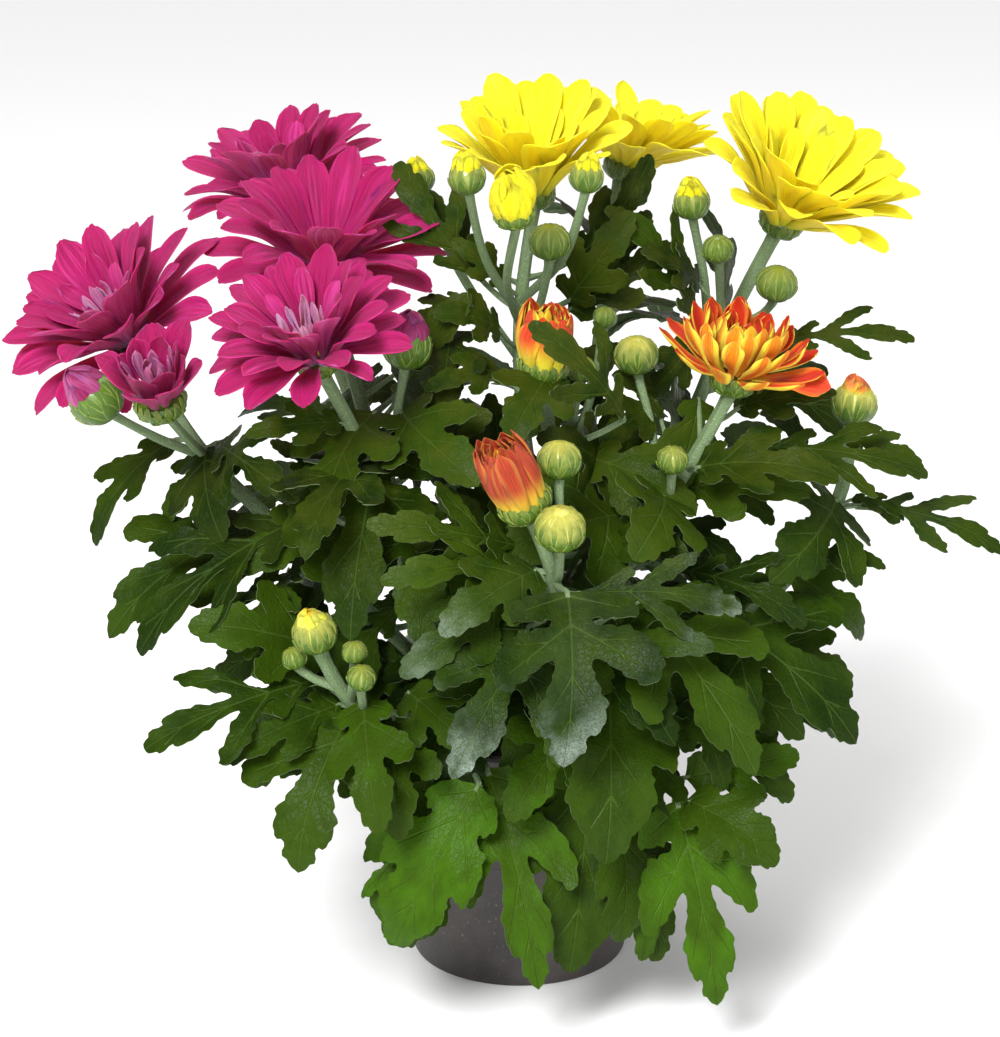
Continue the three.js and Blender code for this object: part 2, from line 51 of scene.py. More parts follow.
FULL_TURN = 2 * math.pi
GOLDEN_ANGLE = math.radians(137.508)

# The seeds of the random draws: for a plant and for each of its heads, the order is added.
PLANT_SEED = 100
HEAD_SEED = 1000
MORE_LEAVES_SEED = 50
SOIL_SEED = 7

# Pot and soil, as in the solids.
POT_HEIGHT = 82
POT_RIM_RADIUS = 50
POT_BASE_RADIUS = 33
POT_WALL = 1.3
POT_FLOOR = 1.6
COLLAR_FOOT = 69
COLLAR_STEP = 1.6
DRAIN_RADIUS = 4
DRAIN_CIRCLE = 22
DRAIN_COUNT = 4
SOIL_LEVEL = 73
SOIL_MOUND = 3
GAP = 0.3
CRUMBS = 420
CRUMB_REACH = 43.5
FIBRES = 70

# Stems, as in the solids. A stem goes on a little into the head on it.
SHOOT_RADIUS = 1.9
ROOT_RADIUS = 2.6
ROOT_BOTTOM = 48
ROOT_TOP = 81
STEM_END = 2

# The leaves that more_leaves adds: on which of a shoot's points they grow, their length, how far out and
# up from the shoot their blades start, their width against their length, how near the middle of one may
# come to another's, and where they would hang over the pot: tips too low, or a middle too near it.
SHOOT_STEPS = 90
FIRST_LEAF = 4
BARE_TOP = 22
LEAF_STEPS = 9
MORE_LENGTH = (34, 54)
MORE_OUT = (8, 14)
MORE_UP = (2, 6)
MORE_WIDTH = (0.6, 0.85)
CROWDED = 13
LOWEST_TIP = 12
POT_REACH = 56
POT_CLEAR = 86

# Leaves face up and away from the upright line through MIDDLE. The ones in front of FRONT_SIDE lean
# toward the front too. The ones within about YOUNG_REACH of YOUNG_SHOOT are silvery: partly down, and
# partly a painted sheen of glare.
MIDDLE = np.array([0, 25, 0])
FRONT_SIDE = 12
FRONT_LEAN = 0.55
YOUNG_SHOOT = (6, -90, 140)
YOUNG_REACH = 12
# A leaf shorter than SMALL_LEAF is simple. A longer one is deeply cut where its width against its
# length is CUT_WIDTH or less, and broad where it is more.
SMALL_LEAF = 42
CUT_WIDTH = 0.72
# How high a blade arches and how wide its half is, in leaf lengths, and how thick it is.
LEAF_BOW = 0.1
LEAF_HALF = 0.45
LEAF_THICKNESS = 0.5
LEAF_RIM_THICKNESS = 0.24
# How many steps of a leaf's outline make a tooth, from which half-width a side vein has a rib below it,
# and how far from the veins the middle of an edge may lie that joins two of them, in leaf lengths.
TOOTH_STEPS = 4
LOBE_RIB = 0.005
VEIN_GAP = 0.004

# How high the middle of a head's face lies above the foot of its cup, for a head of size 1.
FACE_HEIGHT = {"bloom": 9, "opening": 12, "bud": 1}
# How far from a head's face the added leaves keep.
HEAD_REACH = {"bloom": 33, "opening": 15, "bud": 12}
# The cup is a squashed ball of scales, and the disc a low dome of florets above it.
CUP_RADIUS = 6.4
CUP_HEIGHT = 3.6
CUP_SQUASH = 0.72
DISC_FOOT = 8.3
DISC_RADIUS = 4.2
FLORETS = 84
SCALE_THICKNESS = 0.38
SCALE_RIM_THICKNESS = 0.18
# Where the outline of a petal closes, in its lengths. Past 1, so that its end is blunt.
PETAL_END = 1.02
# How many petals each ring is turned on by from the one below it, and the size of a half-open head that
# has petals just as long as those of its rings.
RING_PHASE = 0.63
OPENING_SIZE = 1.15

# The camera, and the plant's outline as it is seen from there on the upright plane y = 0, as [x, z].
EYE = (-6, -850, 415)
LOOK_DOWN = 18
LENS = 103.5
FRONT_OUTLINE = [
    [-126, 132], [-125, 97], [-114, 64], [-88, 34], [-64, 24], [-49, 47], [-42, -2], [0, -16], [41, -7],
    [64, -21], [70, 27], [84, 44], [83, 66], [104, 69], [104, 113], [109, 122], [144, 129], [113, 154],
    [115, 194], [91, 197], [78, 221], [49, 242], [23, 250], [-23, 250], [-35, 236], [-41, 197],
    [-56, 170], [-95, 176],
]
# The light and the floor, in metres. Each lamp is its name, its place, its size and its power.
WORLD_LIGHT = 0.3
SUN = {"energy": 2.9, "angle": math.radians(20), "from": (-0.4, -1.0, 1.0)}
LAMPS = [
    ("key", (-0.30, -1.0, 0.85), 0.35, 10),
    ("front", (-0.1, -1.5, 0.25), 0.6, 6),
    ("fill", (1.0, -0.7, 0.6), 0.8, 4),
    ("top", (0.1, 0.4, 1.2), 0.8, 6),
]
LAMP_TARGET = (0, 0, 0.14)
FLOOR_HALF = 14

# Each plant. A head is its kind, its name, the middle of its face, the way it faces, its size, its
# stem's radius and the stem's route up to just below it, from the root or from a shoot. A closed bud has
# no name. A bare shoot ends in leaves alone. A leaf is the base of its blade, its tip, its width against
# its length and, where its size doesn't tell it, its kind. The infill leaves are not in the solids: they
# close the gaps of the foliage.
PLANTS = {
    "magenta": {
        "root": [-18, 3],
        "heads": [
            ["bloom", "left", [-116, -5, 198], [-0.45, -0.33, 0.83], 1, 1.9,
             [[-18, 3, 78], [-36, -7, 102], [-62, -20, 134], [-91, -20, 164]]],
            ["bloom", "top", [-57, 2, 219], [0.03, -0.25, 0.97], 1, 1.9,
             [[-18, 3, 80], [-26, -6, 112], [-38, -14, 150], [-49, -8, 185]]],
            ["bloom", "front", [-57, -60, 208], [-0.15, -0.48, 0.86], 1, 1.9,
             [[-18, 3, 79], [-28, -22, 106], [-38, -42, 150], [-46, -49, 178]]],
            ["bloom", "back", [-72, 60, 226], [-0.25, -0.1, 0.96], 1, 1.9,
             [[-18, 3, 77], [-30, 20, 108], [-50, 37, 160], [-65, 56, 196]]],
            ["opening", "low", [-101, -60, 199], [-0.1, -0.5, 0.86], 1.1, 1.2,
             [[-91, -20, 164], [-94, -38, 174]]],
            ["bud", "left", [-119, -48, 190], [-0.6, -0.3, 0.75], 8, 1.2,
             [[-91, -20, 164], [-103, -32, 173]]],
            ["bud", "right", [-32, -40, 203], [0.1, -0.1, 1], 7.2, 1.2, [[-38, -42, 150], [-36, -41, 176]]],
        ],
        "bare": [],
        "leaves": [
            [[-79, -22, 144], [-119, -42, 116], 0.75], [[-58, -38, 153], [-108, -60, 118], 0.65],
            [[-56, -26, 136], [-96, -42, 128], 0.7], [[-91, -24, 168], [-84, -50, 148], 1.0],
            [[-84, -13, 163], [-104, -20, 144], 0.9], [[-102, -8, 166], [-125, -18, 136], 0.6],
            [[-41, -42, 184], [-54, -72, 162], 1.0], [[-50, -53, 184], [-76, -62, 183], 0.6],
            [[-40, -46, 174], [-47, -82, 130], 0.8], [[-48, -34, 144], [-82, -52, 140], 0.8],
            [[-34, -42, 184], [-12, -74, 172], 0.9], [[-30, -46, 156], [-27, -84, 128], 0.8],
            [[-34, -20, 184], [-14, -26, 214], 0.8], [[-32, -22, 160], [-8, -44, 184], 0.8],
            [[-60, 24, 142], [-100, 42, 118], 0.75], [[-42, 38, 126], [-58, 84, 96], 0.75],
            [[-64, 46, 182], [-94, 64, 162], 0.75], [[-52, 42, 156], [-62, 84, 146], 0.75],
            [[-34, 20, 104], [-76, 38, 74], 0.75], [[-44, -8, 108], [-94, -8, 88], 0.75],
            [[-24, 18, 94], [-40, 64, 60], 0.75], [[-34, -20, 100], [-80, -34, 66], 0.75],
        ],
        "infill": [
            [[-15, -8, 208], [-32, -22, 200], 0.75], [[-20, -20, 202], [-23, -48, 182], 0.8],
            [[-34, -40, 178], [-53, -60, 172], 0.7], [[-29, -40, 151], [-43, -60, 134], 0.75],
            [[-55, -30, 163], [-72, -30, 172], 0.6],
        ],
    },
    "yellow": {
        "root": [12, 16],
        "heads": [
            ["bloom", "top", [3, -2, 243], [-0.1, -0.25, 0.96], 1, 1.9,
             [[12, 16, 78], [8, 6, 120], [1, -7, 170], [0, -6, 205]]],
            ["bloom", "back", [34, 50, 240], [0.4, 0.1, 0.9], 1, 1.9,
             [[12, 16, 80], [18, 28, 122], [24, 40, 180]]],
            ["bloom", "right", [77, -5, 235], [0.3, -0.35, 0.89], 1, 1.9,
             [[12, 16, 79], [30, 14, 120], [50, 8, 165], [62, 2, 200]]],
            ["opening", "front", [-3, -62, 251], [-0.15, -0.3, 0.92], 0.85, 1.2,
             [[0, -6, 200], [-4, -34, 219]]],
            ["bud", "left", [-15, -46, 252], [-0.1, -0.1, 1], 5.2, 1.2, [[0, -6, 203], [-10, -26, 224]]],
            ["bud", "far", [-30, 20, 238], [-0.2, 0.1, 1], 4.8, 1.2, [[1, -7, 188], [-16, 6, 210]]],
            ["bud", "middle", [18, -36, 250], [0.1, 0, 1], 4.8, 1.2, [[0, -6, 207], [12, -22, 224]]],
            ["bud", "right", [49, -8, 237], [-0.1, -0.1, 1], 5.4, 1.2, [[56, 5, 184], [54, 1, 210]]],
            ["bud", "", [8, -28, 230], [0, -0.2, 1], 6, 1.2, [[0, -6, 196], [5, -18, 208]]],
            ["bud", "", [56, -20, 226], [-0.1, -0.3, 1], 4.6, 1.2, [[60, 4, 194], [58, -8, 208]]],
            ["bud", "", [73, -20, 216], [0.1, -0.3, 1], 6, 1.2, [[61, 2, 198], [69, -8, 203]]],
        ],
        "bare": [],
        "leaves": [
            [[-10, -6, 212], [-36, 4, 246], 0.7], [[-6, -20, 202], [-25, -33, 210], 0.8],
            [[14, -8, 208], [32, -16, 236], 0.75], [[16, 2, 218], [38, 6, 248], 0.6],
            [[52, -2, 198], [24, -12, 236], 0.6], [[60, 12, 199], [50, 22, 232], 0.8],
            [[14, -4, 204], [46, 2, 222], 0.6], [[74, 4, 192], [116, 0, 194], 0.5],
            [[-4, -8, 158], [-30, -22, 180], 0.8], [[8, 4, 136], [42, -12, 152], 0.8],
            [[48, 4, 166], [26, -24, 190], 0.8], [[14, 4, 149], [36, -18, 170], 0.8],
            [[8, -4, 176], [30, -14, 196], 0.8], [[48, 6, 150], [68, -18, 162], 0.8],
            [[20, 42, 152], [22, 90, 132], 0.75], [[30, 48, 192], [46, 84, 178], 0.75],
            [[20, 36, 122], [42, 84, 96], 0.75], [[24, 44, 212], [8, 76, 216], 0.75],
            [[54, 14, 152], [97, 38, 134], 0.75], [[38, 18, 118], [82, 44, 92], 0.75],
            [[62, 8, 180], [90, 38, 182], 0.75], [[24, 22, 98], [60, 60, 64], 0.75],
            [[14, 28, 104], [4, 76, 68], 0.75], [[30, 8, 92], [80, 8, 62], 0.75],
        ],
        "infill": [
            [[20, 0, 209], [38, 8, 231], 0.65], [[52, -5, 212], [34, -18, 225], 0.7],
            [[-5, -10, 214], [-20, -12, 227], 0.7], [[-12, 0, 218], [-31, 10, 238], 0.6],
            [[50, -5, 195], [35, -15, 180], 0.75], [[23, -10, 179], [31, -18, 160], 0.75],
            [[12, -5, 177], [0, -20, 169], 0.7],
        ],
    },
    "orange": {
        "root": [8, -16],
        "heads": [
            ["bloom", "right", [60, -45, 199], [0.15, -0.12, 0.98], 1, 1.9,
             [[8, -16, 79], [22, -28, 115], [38, -38, 150], [50, -41, 172]]],
            ["opening", "middle", [7, -44, 207], [0.1, -0.15, 1], 1.1, 1.9,
             [[8, -16, 80], [9, -28, 130], [9, -36, 165]]],
            ["opening", "front", [-3, -88, 180], [-0.35, -0.3, 0.87], 1.15, 1.9,
             [[8, -16, 78], [10, -40, 100], [10, -66, 130], [8, -80, 150]]],
            ["bud", "far", [97, -15, 179], [0.1, 0, 1], 6.8, 1.9,
             [[8, -16, 77], [45, -24, 98], [80, -24, 130], [93, -20, 152]]],
            ["bud", "low", [-57, -80, 132], [-0.2, -0.3, 1], 6.4, 1.9,
             [[8, -16, 76], [-15, -40, 87], [-35, -58, 98], [-48, -70, 108]]],
            ["bud", "", [33, -24, 196], [-0.1, -0.2, 1], 6.5, 1.2, [[38, -38, 150], [38, -32, 172]]],
            ["bud", "", [10, -78, 181], [0, -0.1, 1], 6.2, 1.2, [[8, -80, 150], [10, -79, 162]]],
            ["bud", "", [10, -95, 167], [0, -0.4, 1], 7.1, 1.2, [[9, -76, 144], [10, -87, 152]]],
            ["bud", "", [42, -55, 174], [0, -0.4, 1], 4.5, 1.2, [[41, -40, 155], [42, -49, 162]]],
            ["bud", "", [24, -20, 206], [0.1, -0.1, 1], 3.5, 1.2, [[9, -35, 162], [19, -30, 182]]],
            ["bud", "", [17, -32, 194], [0.1, -0.2, 1], 4.4, 1.2, [[9, -36, 168], [14, -35, 178]]],
            ["bud", "", [-46, -82, 127], [0, -0.3, 1], 3.6, 1.2, [[-48, -70, 108], [-47, -77, 115]]],
            ["bud", "", [-44, -86, 121], [0.1, -0.4, 1], 4.1, 1.2, [[-45, -68, 106], [-44, -79, 110]]],
            ["bud", "", [-63, -76, 123], [-0.3, -0.3, 1], 3.6, 1.2, [[-52, -73, 113], [-58, -74, 116]]],
        ],
        "bare": [[[8, -16, 77], [22, -36, 88], [34, -54, 88], [44, -67, 80]]],
        "leaves": [
            [[12, -92, 148], [11, -114, 106], 0.95], [[2, -84, 135], [-19, -108, 100], 0.75],
            [[-2, -78, 142], [-33, -94, 124], 0.7], [[14, -88, 146], [60, -84, 140], 0.6],
            [[40, -50, 162], [30, -86, 155], 1.0], [[34, -66, 136], [64, -96, 96], 0.75],
            [[20, -78, 128], [52, -98, 134], 0.6], [[51, -50, 128], [95, -66, 93], 0.85],
            [[40, -36, 114], [82, -50, 88], 0.8], [[47, -64, 82], [80, -56, 86], 0.75],
            [[47, -71, 78], [72, -84, 64], 0.85, "full"], [[44, -71, 78], [56, -84, 20], 0.58, "broad"],
            [[34, -50, 80], [39, -68, 26], 0.65], [[20, -54, 88], [14, -75, 26], 0.6, "full"],
            [[24, -68, 120], [23, -101, 72], 0.75, "full"], [[-10, -64, 85], [5, -86, 26], 0.54, "broad"],
            [[-16, -60, 80], [-36, -66, 30], 0.8, "full"], [[18, -62, 102], [-4, -90, 80], 0.8],
            [[6, -70, 132], [10, -100, 100], 0.8], [[-32, -64, 108], [-12, -86, 98], 0.8],
            [[-36, -68, 102], [-34, -90, 74], 0.9], [[4, -80, 150], [-22, -102, 139], 0.8],
            [[-48, -73, 105], [-62, -94, 66], 0.95], [[-56, -64, 112], [-105, -80, 97], 0.7],
            [[-56, -56, 118], [-93, -70, 130], 0.85], [[-51, -68, 106], [-84, -82, 94], 0.65],
            [[29, -50, 184], [2, -66, 216], 0.65], [[62, -36, 184], [89, -40, 189], 0.6],
            [[66, -36, 172], [116, -38, 164], 0.6], [[49, -50, 170], [88, -62, 170], 0.65],
            [[98, -21, 150], [139, -36, 140], 0.65], [[92, -23, 152], [70, -56, 138], 1.0],
            [[85, -25, 136], [106, -32, 134], 0.7], [[24, -34, 164], [4, -54, 180], 0.9],
            [[8, -42, 196], [-4, -66, 182], 1.0], [[44, -36, 158], [82, -48, 162], 0.7],
            [[44, -44, 138], [80, -64, 128], 0.7], [[0, -66, 152], [-42, -88, 166], 0.6],
            [[2, -68, 147], [-38, -96, 152], 0.6], [[50, -24, 100], [96, -20, 76], 0.75],
            [[16, -36, 140], [46, -70, 152], 0.75], [[10, -36, 158], [-14, -64, 172], 0.8],
            [[8, -44, 112], [-24, -76, 112], 0.85], [[12, -46, 106], [42, -84, 104], 0.85],
            [[-22, -48, 92], [-52, -64, 76], 0.75],
        ],
        "infill": [
            [[-6, -32, 193], [-27, -48, 192], 0.65], [[39, -22, 182], [22, -38, 172], 0.75],
            [[51, -28, 184], [43, -40, 157], 0.7], [[49, -24, 159], [73, -34, 148], 0.8],
            [[41, -20, 145], [64, -30, 132], 0.8], [[-1, -50, 143], [-24, -58, 166], 0.7],
            [[-6, -40, 151], [-19, -45, 177], 0.6], [[72, -22, 133], [101, -24, 109], 0.8],
            [[70, -35, 113], [97, -35, 97], 0.75], [[48, -55, 102], [57, -72, 81], 0.8],
            [[38, -60, 92], [36, -76, 65], 0.75], [[55, -55, 91], [78, -60, 73], 0.8],
            [[34, -60, 67], [35, -70, 27], 0.5], [[-26, -62, 74], [-37, -72, 33], 0.6],
            [[-12, -74, 84], [-36, -80, 37], 0.66, "full"], [[28, -70, 72], [28, -76, 36], 0.62, "full"],
            [[94, -22, 170], [116, -30, 163], 0.6], [[96, -25, 153], [111, -30, 148], 0.6],
        ],
    },
}

# Each kind of leaf. The outline is one half of it from its root to its tip, as [along, across] in leaf
# lengths. A vein is [start, end, half-width] in the same coordinates, and all but the first have a twin
# on the other half. Spacing is the size of the triangles, a tooth is its length and its depth, and the
# lobes of a sheared leaf point further forward.
LEAF_FORMS = {
    "broad": {
        "outline": [
            [0, 0.015], [0.005, 0.06], [0.01, 0.15], [0.03, 0.26], [0.07, 0.35], [0.12, 0.385],
            [0.165, 0.35], [0.17, 0.26], [0.165, 0.17], [0.175, 0.115], [0.21, 0.14], [0.23, 0.24],
            [0.26, 0.36], [0.33, 0.44], [0.42, 0.485], [0.51, 0.49], [0.565, 0.45], [0.55, 0.38],
            [0.49, 0.28], [0.43, 0.19], [0.405, 0.13], [0.43, 0.11], [0.5, 0.12], [0.59, 0.15],
            [0.68, 0.185], [0.76, 0.19], [0.815, 0.165], [0.83, 0.12], [0.86, 0.1], [0.92, 0.085],
            [0.965, 0.05], [1, 0],
        ],
        "veins": [
            [[0, 0], [1, 0], 0.009], [[0.03, 0], [0.12, 0.32], 0.006], [[0.2, 0], [0.5, 0.44], 0.007],
            [[0.3, 0.147], [0.31, 0.33], 0.004], [[0.38, 0.264], [0.53, 0.36], 0.004],
            [[0.5, 0], [0.75, 0.165], 0.005], [[0.74, 0], [0.87, 0.085], 0.004],
        ],
        "spacing": 0.045, "tooth": (0.095, 0.022), "shear": 0,
    },
    "cut": {
        "outline": [
            [0, 0.012], [0.05, 0.03], [0.12, 0.06], [0.17, 0.12], [0.22, 0.2], [0.27, 0.235], [0.3, 0.2],
            [0.28, 0.12], [0.27, 0.06], [0.31, 0.055], [0.36, 0.11], [0.4, 0.2], [0.45, 0.3],
            [0.51, 0.38], [0.58, 0.43], [0.63, 0.42], [0.62, 0.34], [0.57, 0.24], [0.51, 0.14],
            [0.47, 0.075], [0.52, 0.06], [0.6, 0.075], [0.68, 0.115], [0.76, 0.145], [0.82, 0.135],
            [0.85, 0.095], [0.9, 0.09], [0.95, 0.07], [0.985, 0.04], [1, 0],
        ],
        "veins": [
            [[0, 0], [1, 0], 0.009], [[0.12, 0], [0.26, 0.2], 0.005], [[0.3, 0], [0.59, 0.4], 0.007],
            [[0.4, 0.138], [0.45, 0.26], 0.004], [[0.47, 0.234], [0.58, 0.3], 0.004],
            [[0.52, 0], [0.8, 0.13], 0.005], [[0.78, 0], [0.9, 0.08], 0.004],
        ],
        "spacing": 0.045, "tooth": (0.095, 0.02), "shear": 0.15,
    },
    "simple": {
        "outline": [
            [0, 0.02], [0.02, 0.08], [0.05, 0.18], [0.1, 0.25], [0.17, 0.26], [0.2, 0.2], [0.2, 0.14],
            [0.24, 0.15], [0.3, 0.25], [0.38, 0.35], [0.47, 0.41], [0.55, 0.4], [0.58, 0.33],
            [0.54, 0.22], [0.5, 0.15], [0.54, 0.13], [0.62, 0.15], [0.7, 0.185], [0.78, 0.18],
            [0.84, 0.14], [0.9, 0.12], [0.96, 0.07], [1, 0],
        ],
        "veins": [
            [[0, 0], [1, 0], 0.01], [[0.04, 0], [0.12, 0.2], 0.006], [[0.18, 0], [0.47, 0.36], 0.007],
            [[0.5, 0], [0.74, 0.16], 0.005],
        ],
        "spacing": 0.06, "tooth": (0.11, 0.024), "shear": 0,
    },
    "full": {
        "outline": [
            [0, 0.015], [0.01, 0.09], [0.03, 0.2], [0.08, 0.29], [0.14, 0.31], [0.19, 0.27],
            [0.21, 0.215], [0.25, 0.235], [0.3, 0.33], [0.38, 0.41], [0.47, 0.43], [0.54, 0.4],
            [0.56, 0.34], [0.545, 0.28], [0.57, 0.25], [0.63, 0.265], [0.7, 0.275], [0.77, 0.255],
            [0.82, 0.21], [0.845, 0.165], [0.89, 0.14], [0.94, 0.1], [0.98, 0.05], [1, 0],
        ],
        "veins": [
            [[0, 0], [1, 0], 0.009], [[0.03, 0], [0.13, 0.25], 0.006], [[0.17, 0], [0.46, 0.37], 0.007],
            [[0.46, 0], [0.72, 0.23], 0.005], [[0.7, 0], [0.86, 0.14], 0.004],
        ],
        "spacing": 0.05, "tooth": (0.1, 0.026), "shear": 0.05,
    },
}

# A ring of petals is RING_VALUES, then what else differs from the defaults of add_ring and add_petal.
# Rise, arch and curl are in degrees.
RING_VALUES = ("count", "length", "width", "rise", "radius", "height", "arch", "curl", "cup")
STRAP = dict(ridge=0.26, notch=0.012, tip=0.05, foot=0.4, shoulder=0.68, blunt=2.2)
SPOON = dict(notch=0.004, tip=0.03, blunt=2.3, ridge=0.3, foot=0.4, shoulder=0.74)
INCURVED = dict(notch=0.006, shoulder=0.76)
FOLDED = dict(foot=0.6, notch=0.008, quill=1.0)
PART_OPEN = dict(notch=0.01, finishes=(0, 2, 2))
CLOSED = dict(quill=1.2, notch=0.01, finishes=(4, 4, 4))
QUILL = dict(finishes=(3, 3, 3), jitter=1.6)
INNER_QUILL = dict(finishes=(3, 3, 3), jitter=2.4, tone=0.6, rows=10, columns=7)
BLOOM_RINGS = {
    "magenta": [
        (12, 30, 9.6, 8, 5.4, 5.0, 14, 20, 0.6, STRAP),
        (12, 30, 9.8, 28, 5.0, 6.0, 12, 12, 0.7, STRAP),
        (11, 28, 9.6, 47, 4.6, 7.0, 8, 8, 0.8, {**STRAP, "ridge": 0.24}),
        (7, 20, 6.6, 58, 4.2, 8.0, 6, 4, 1.0, dict(tone=0.4, ridge=0.2, tip=0.05, jitter=1.6)),
        (14, 13, 2.6, 68, 3.6, 8.6, -4, -18, 1.6, INNER_QUILL),
    ],
    "yellow": [
        (15, 31.5, 10.4, 37, 5.4, 5.0, 8, 10, 0.65, {**SPOON, "jitter": 1.1}),
        (15, 30, 10.2, 52, 5.0, 6.2, 6, 2, 0.65, {**SPOON, "jitter": 1.1}),
        (7, 21, 8.4, 62, 4.6, 7.0, 4, 4, 0.65, {**SPOON, "blunt": 2.1, "shoulder": 0.7}),
    ],
    "orange": [
        (1, 22, 11, 13, 5.4, 5.0, 6, 6, 0.5, dict(notch=0.006, phase=-0.035, tone=0.9, roll=-34, jitter=0)),
        (11, 21.5, 7.2, 24, 5.4, 5.0, -8, -18, 1.0, INCURVED),
        (13, 20.5, 6.4, 42, 4.8, 6.0, -12, -30, 1.2, {**INCURVED, "jitter": 1.3}),
        (13, 18.5, 5.6, 57, 4.2, 7.0, -12, -36, 1.3, {**INCURVED, "jitter": 1.5}),
        (11, 16, 4.8, 69, 3.4, 7.6, -10, -40, 1.4, {**INCURVED, "tone": 0.4, "jitter": 1.5}),
        (8, 13, 4.2, 80, 2.2, 8.0, -10, -44, 1.5, {**INCURVED, "tone": 0.6, "jitter": 1.5}),
    ],
}
# Each bloom: how long and wide its petals are against those of its rings, how many degrees steeper they
# stand, how many more on the sides to +X and +Y, how many degrees the front ones' tips curl down, and
# how many of the rings it has.
BLOOM_FORMS = {
    "magenta_left": dict(size=1.12, lift=8, steeper=(4, 0), droop=0, rings=5),
    "magenta_back": dict(size=1.02, lift=8, steeper=(0, 0), droop=0, rings=5),
    "magenta_top": dict(size=1.1, lift=5, steeper=(0, 6), droop=0, rings=3),
    "magenta_front": dict(size=0.88, lift=9, steeper=(6, -8), droop=0, rings=5),
    "yellow_top": dict(size=0.98, lift=8, steeper=(-7, 0), droop=6, rings=3),
    "yellow_back": dict(size=0.88, lift=-9, steeper=(16, 6), droop=0, rings=3),
    "yellow_right": dict(size=1.09, lift=3, steeper=(-5, 3), droop=18, rings=3),
    "orange_right": dict(size=1.0, lift=0, steeper=(-4, 0), droop=0, rings=6),
}
OPENING_RINGS = {
    "magenta_low": [
        (7, 20, 9.5, 58, 4.8, 4.6, 8, 6, 0.8, dict(ridge=0.26, finishes=(0, 2, 0))),
        (8, 18, 8, 70, 4.4, 5.2, -4, -8, 1.0, dict(ridge=0.2, finishes=(0, 2, 0))),
        (9, 15, 3.4, 76, 3.6, 5.8, -8, -16, 1.4, QUILL),
        (8, 14, 3.0, 84, 2.2, 6.0, -10, -20, 1.6, QUILL),
    ],
    "yellow_front": [
        (7, 18.5, 11, 107, 7.2, 5.4, -41, 0, 0.95, {**FOLDED, "ridge": 0.14}),
        (6, 18, 10, 109, 6.0, 5.6, -38, 0, 1.0, {**FOLDED, "ridge": 0.14}),
        (5, 15, 8, 108, 4.2, 6.0, -30, 0, 1.1, FOLDED),
    ],
    "orange_middle": [
        (8, 18, 8.4, 86, 6.4, 3.6, -20, -6, 1.0, {**PART_OPEN, "foot": 0.6, "quill": 1.0}),
        (8, 17.5, 7.2, 86, 5.0, 4.4, -12, -10, 1.2, {**PART_OPEN, "foot": 0.55, "quill": 1.2}),
        (8, 17, 4.6, 84, 3.6, 5.6, -6, -20, 1.6, dict(foot=0.55, tone=0.6, jitter=1.6)),
        (6, 16, 4.0, 86, 2.0, 6.0, -4, -30, 1.7, dict(foot=0.55, tone=0.9, jitter=1.6)),
    ],
    "orange_front": [
        (13, 20.5, 5.6, 91, 6.4, 3.8, -18, -2, 1.1, {**CLOSED, "foot": 0.66}),
        (10, 19.5, 5.6, 91, 5.0, 4.6, -14, -4, 1.2, {**CLOSED, "foot": 0.62}),
        (7, 18, 5.0, 89, 3.2, 5.6, -6, -8, 1.5, dict(foot=0.6, finishes=(4, 4, 4))),
        (5, 16, 4.2, 90, 1.8, 6.0, -4, -6, 1.6, dict(foot=0.6)),
    ],
}
# Bud and cup scales, row by row: how many, where each starts and ends on the ball as degrees of
# latitude, its half-width in degrees of longitude at its widest, how far it stands off and its tone.
BUD_SCALES = [
    (13, -50, 74, 15.5, 0.12, 1.0),
    (10, -66, 42, 18.5, 0.4, 0.5),
    (8, -74, 2, 20, 0.7, 0.0),
]
CUP_SCALES = [
    (16, -64, 30, 14, 0.2, 0.2),
    (12, -70, 8, 17, 0.5, 0.0),
    (9, -76, -22, 18, 0.8, 0.0),
]
# The buds of each colour, and one that differs: how far the scales of one that shows petals have drawn
# back, how cream they are, and its petals' finish, width and height.
BUD_FORMS = {
    "magenta": dict(opened=0.5, cream=0.0, finish=2, wide=1.0, tall=1.0),
    "yellow": dict(opened=0.35, cream=0.4, finish=1, wide=1.0, tall=1.0),
    "orange": dict(opened=0.25, cream=1.0, finish=2, wide=0.9, tall=0.86),
    "orange_low": dict(opened=0.15, cream=1.0, finish=3, wide=0.9, tall=0.82),
}
# The rings of a bud's petals for a bud of size 1: how many, length, width, rise, radius and height.
BUD_RINGS = [
    (8, 1.36, 0.72, 119, 0.78, 1.16),
    (6, 1.3, 0.62, 117, 0.62, 1.3),
]
BUD_PETALS = dict(arch=-37, cup=1.1, foot=0.62, quill=1.0, notch=0.006, shoulder=0.6, rows=9, columns=7,
                  thickness=0.36, ridge=0.08, tone=0.4)


# ---------------------------------------------------------------- lines, sheets and bodies


def unit(vector):
    """The vector, one long."""
    vector = np.asarray(vector, float)
    return vector / np.linalg.norm(vector)


def smoothstep(value, low, high):
    """A soft step from 0 to 1 as the value goes from low to high."""
    t = np.clip((value - low) / (high - low), 0, 1)
    return t * t * (3 - 2 * t)


def round_angles(sides):
    """The turns of as many points, evenly round a circle."""
    return np.arange(sides) / sides * FULL_TURN


def polar(radius, turn, height=0.0):
    """The point at a radius, a turn and a height."""
    return np.array([radius * math.cos(turn), radius * math.sin(turn), height])


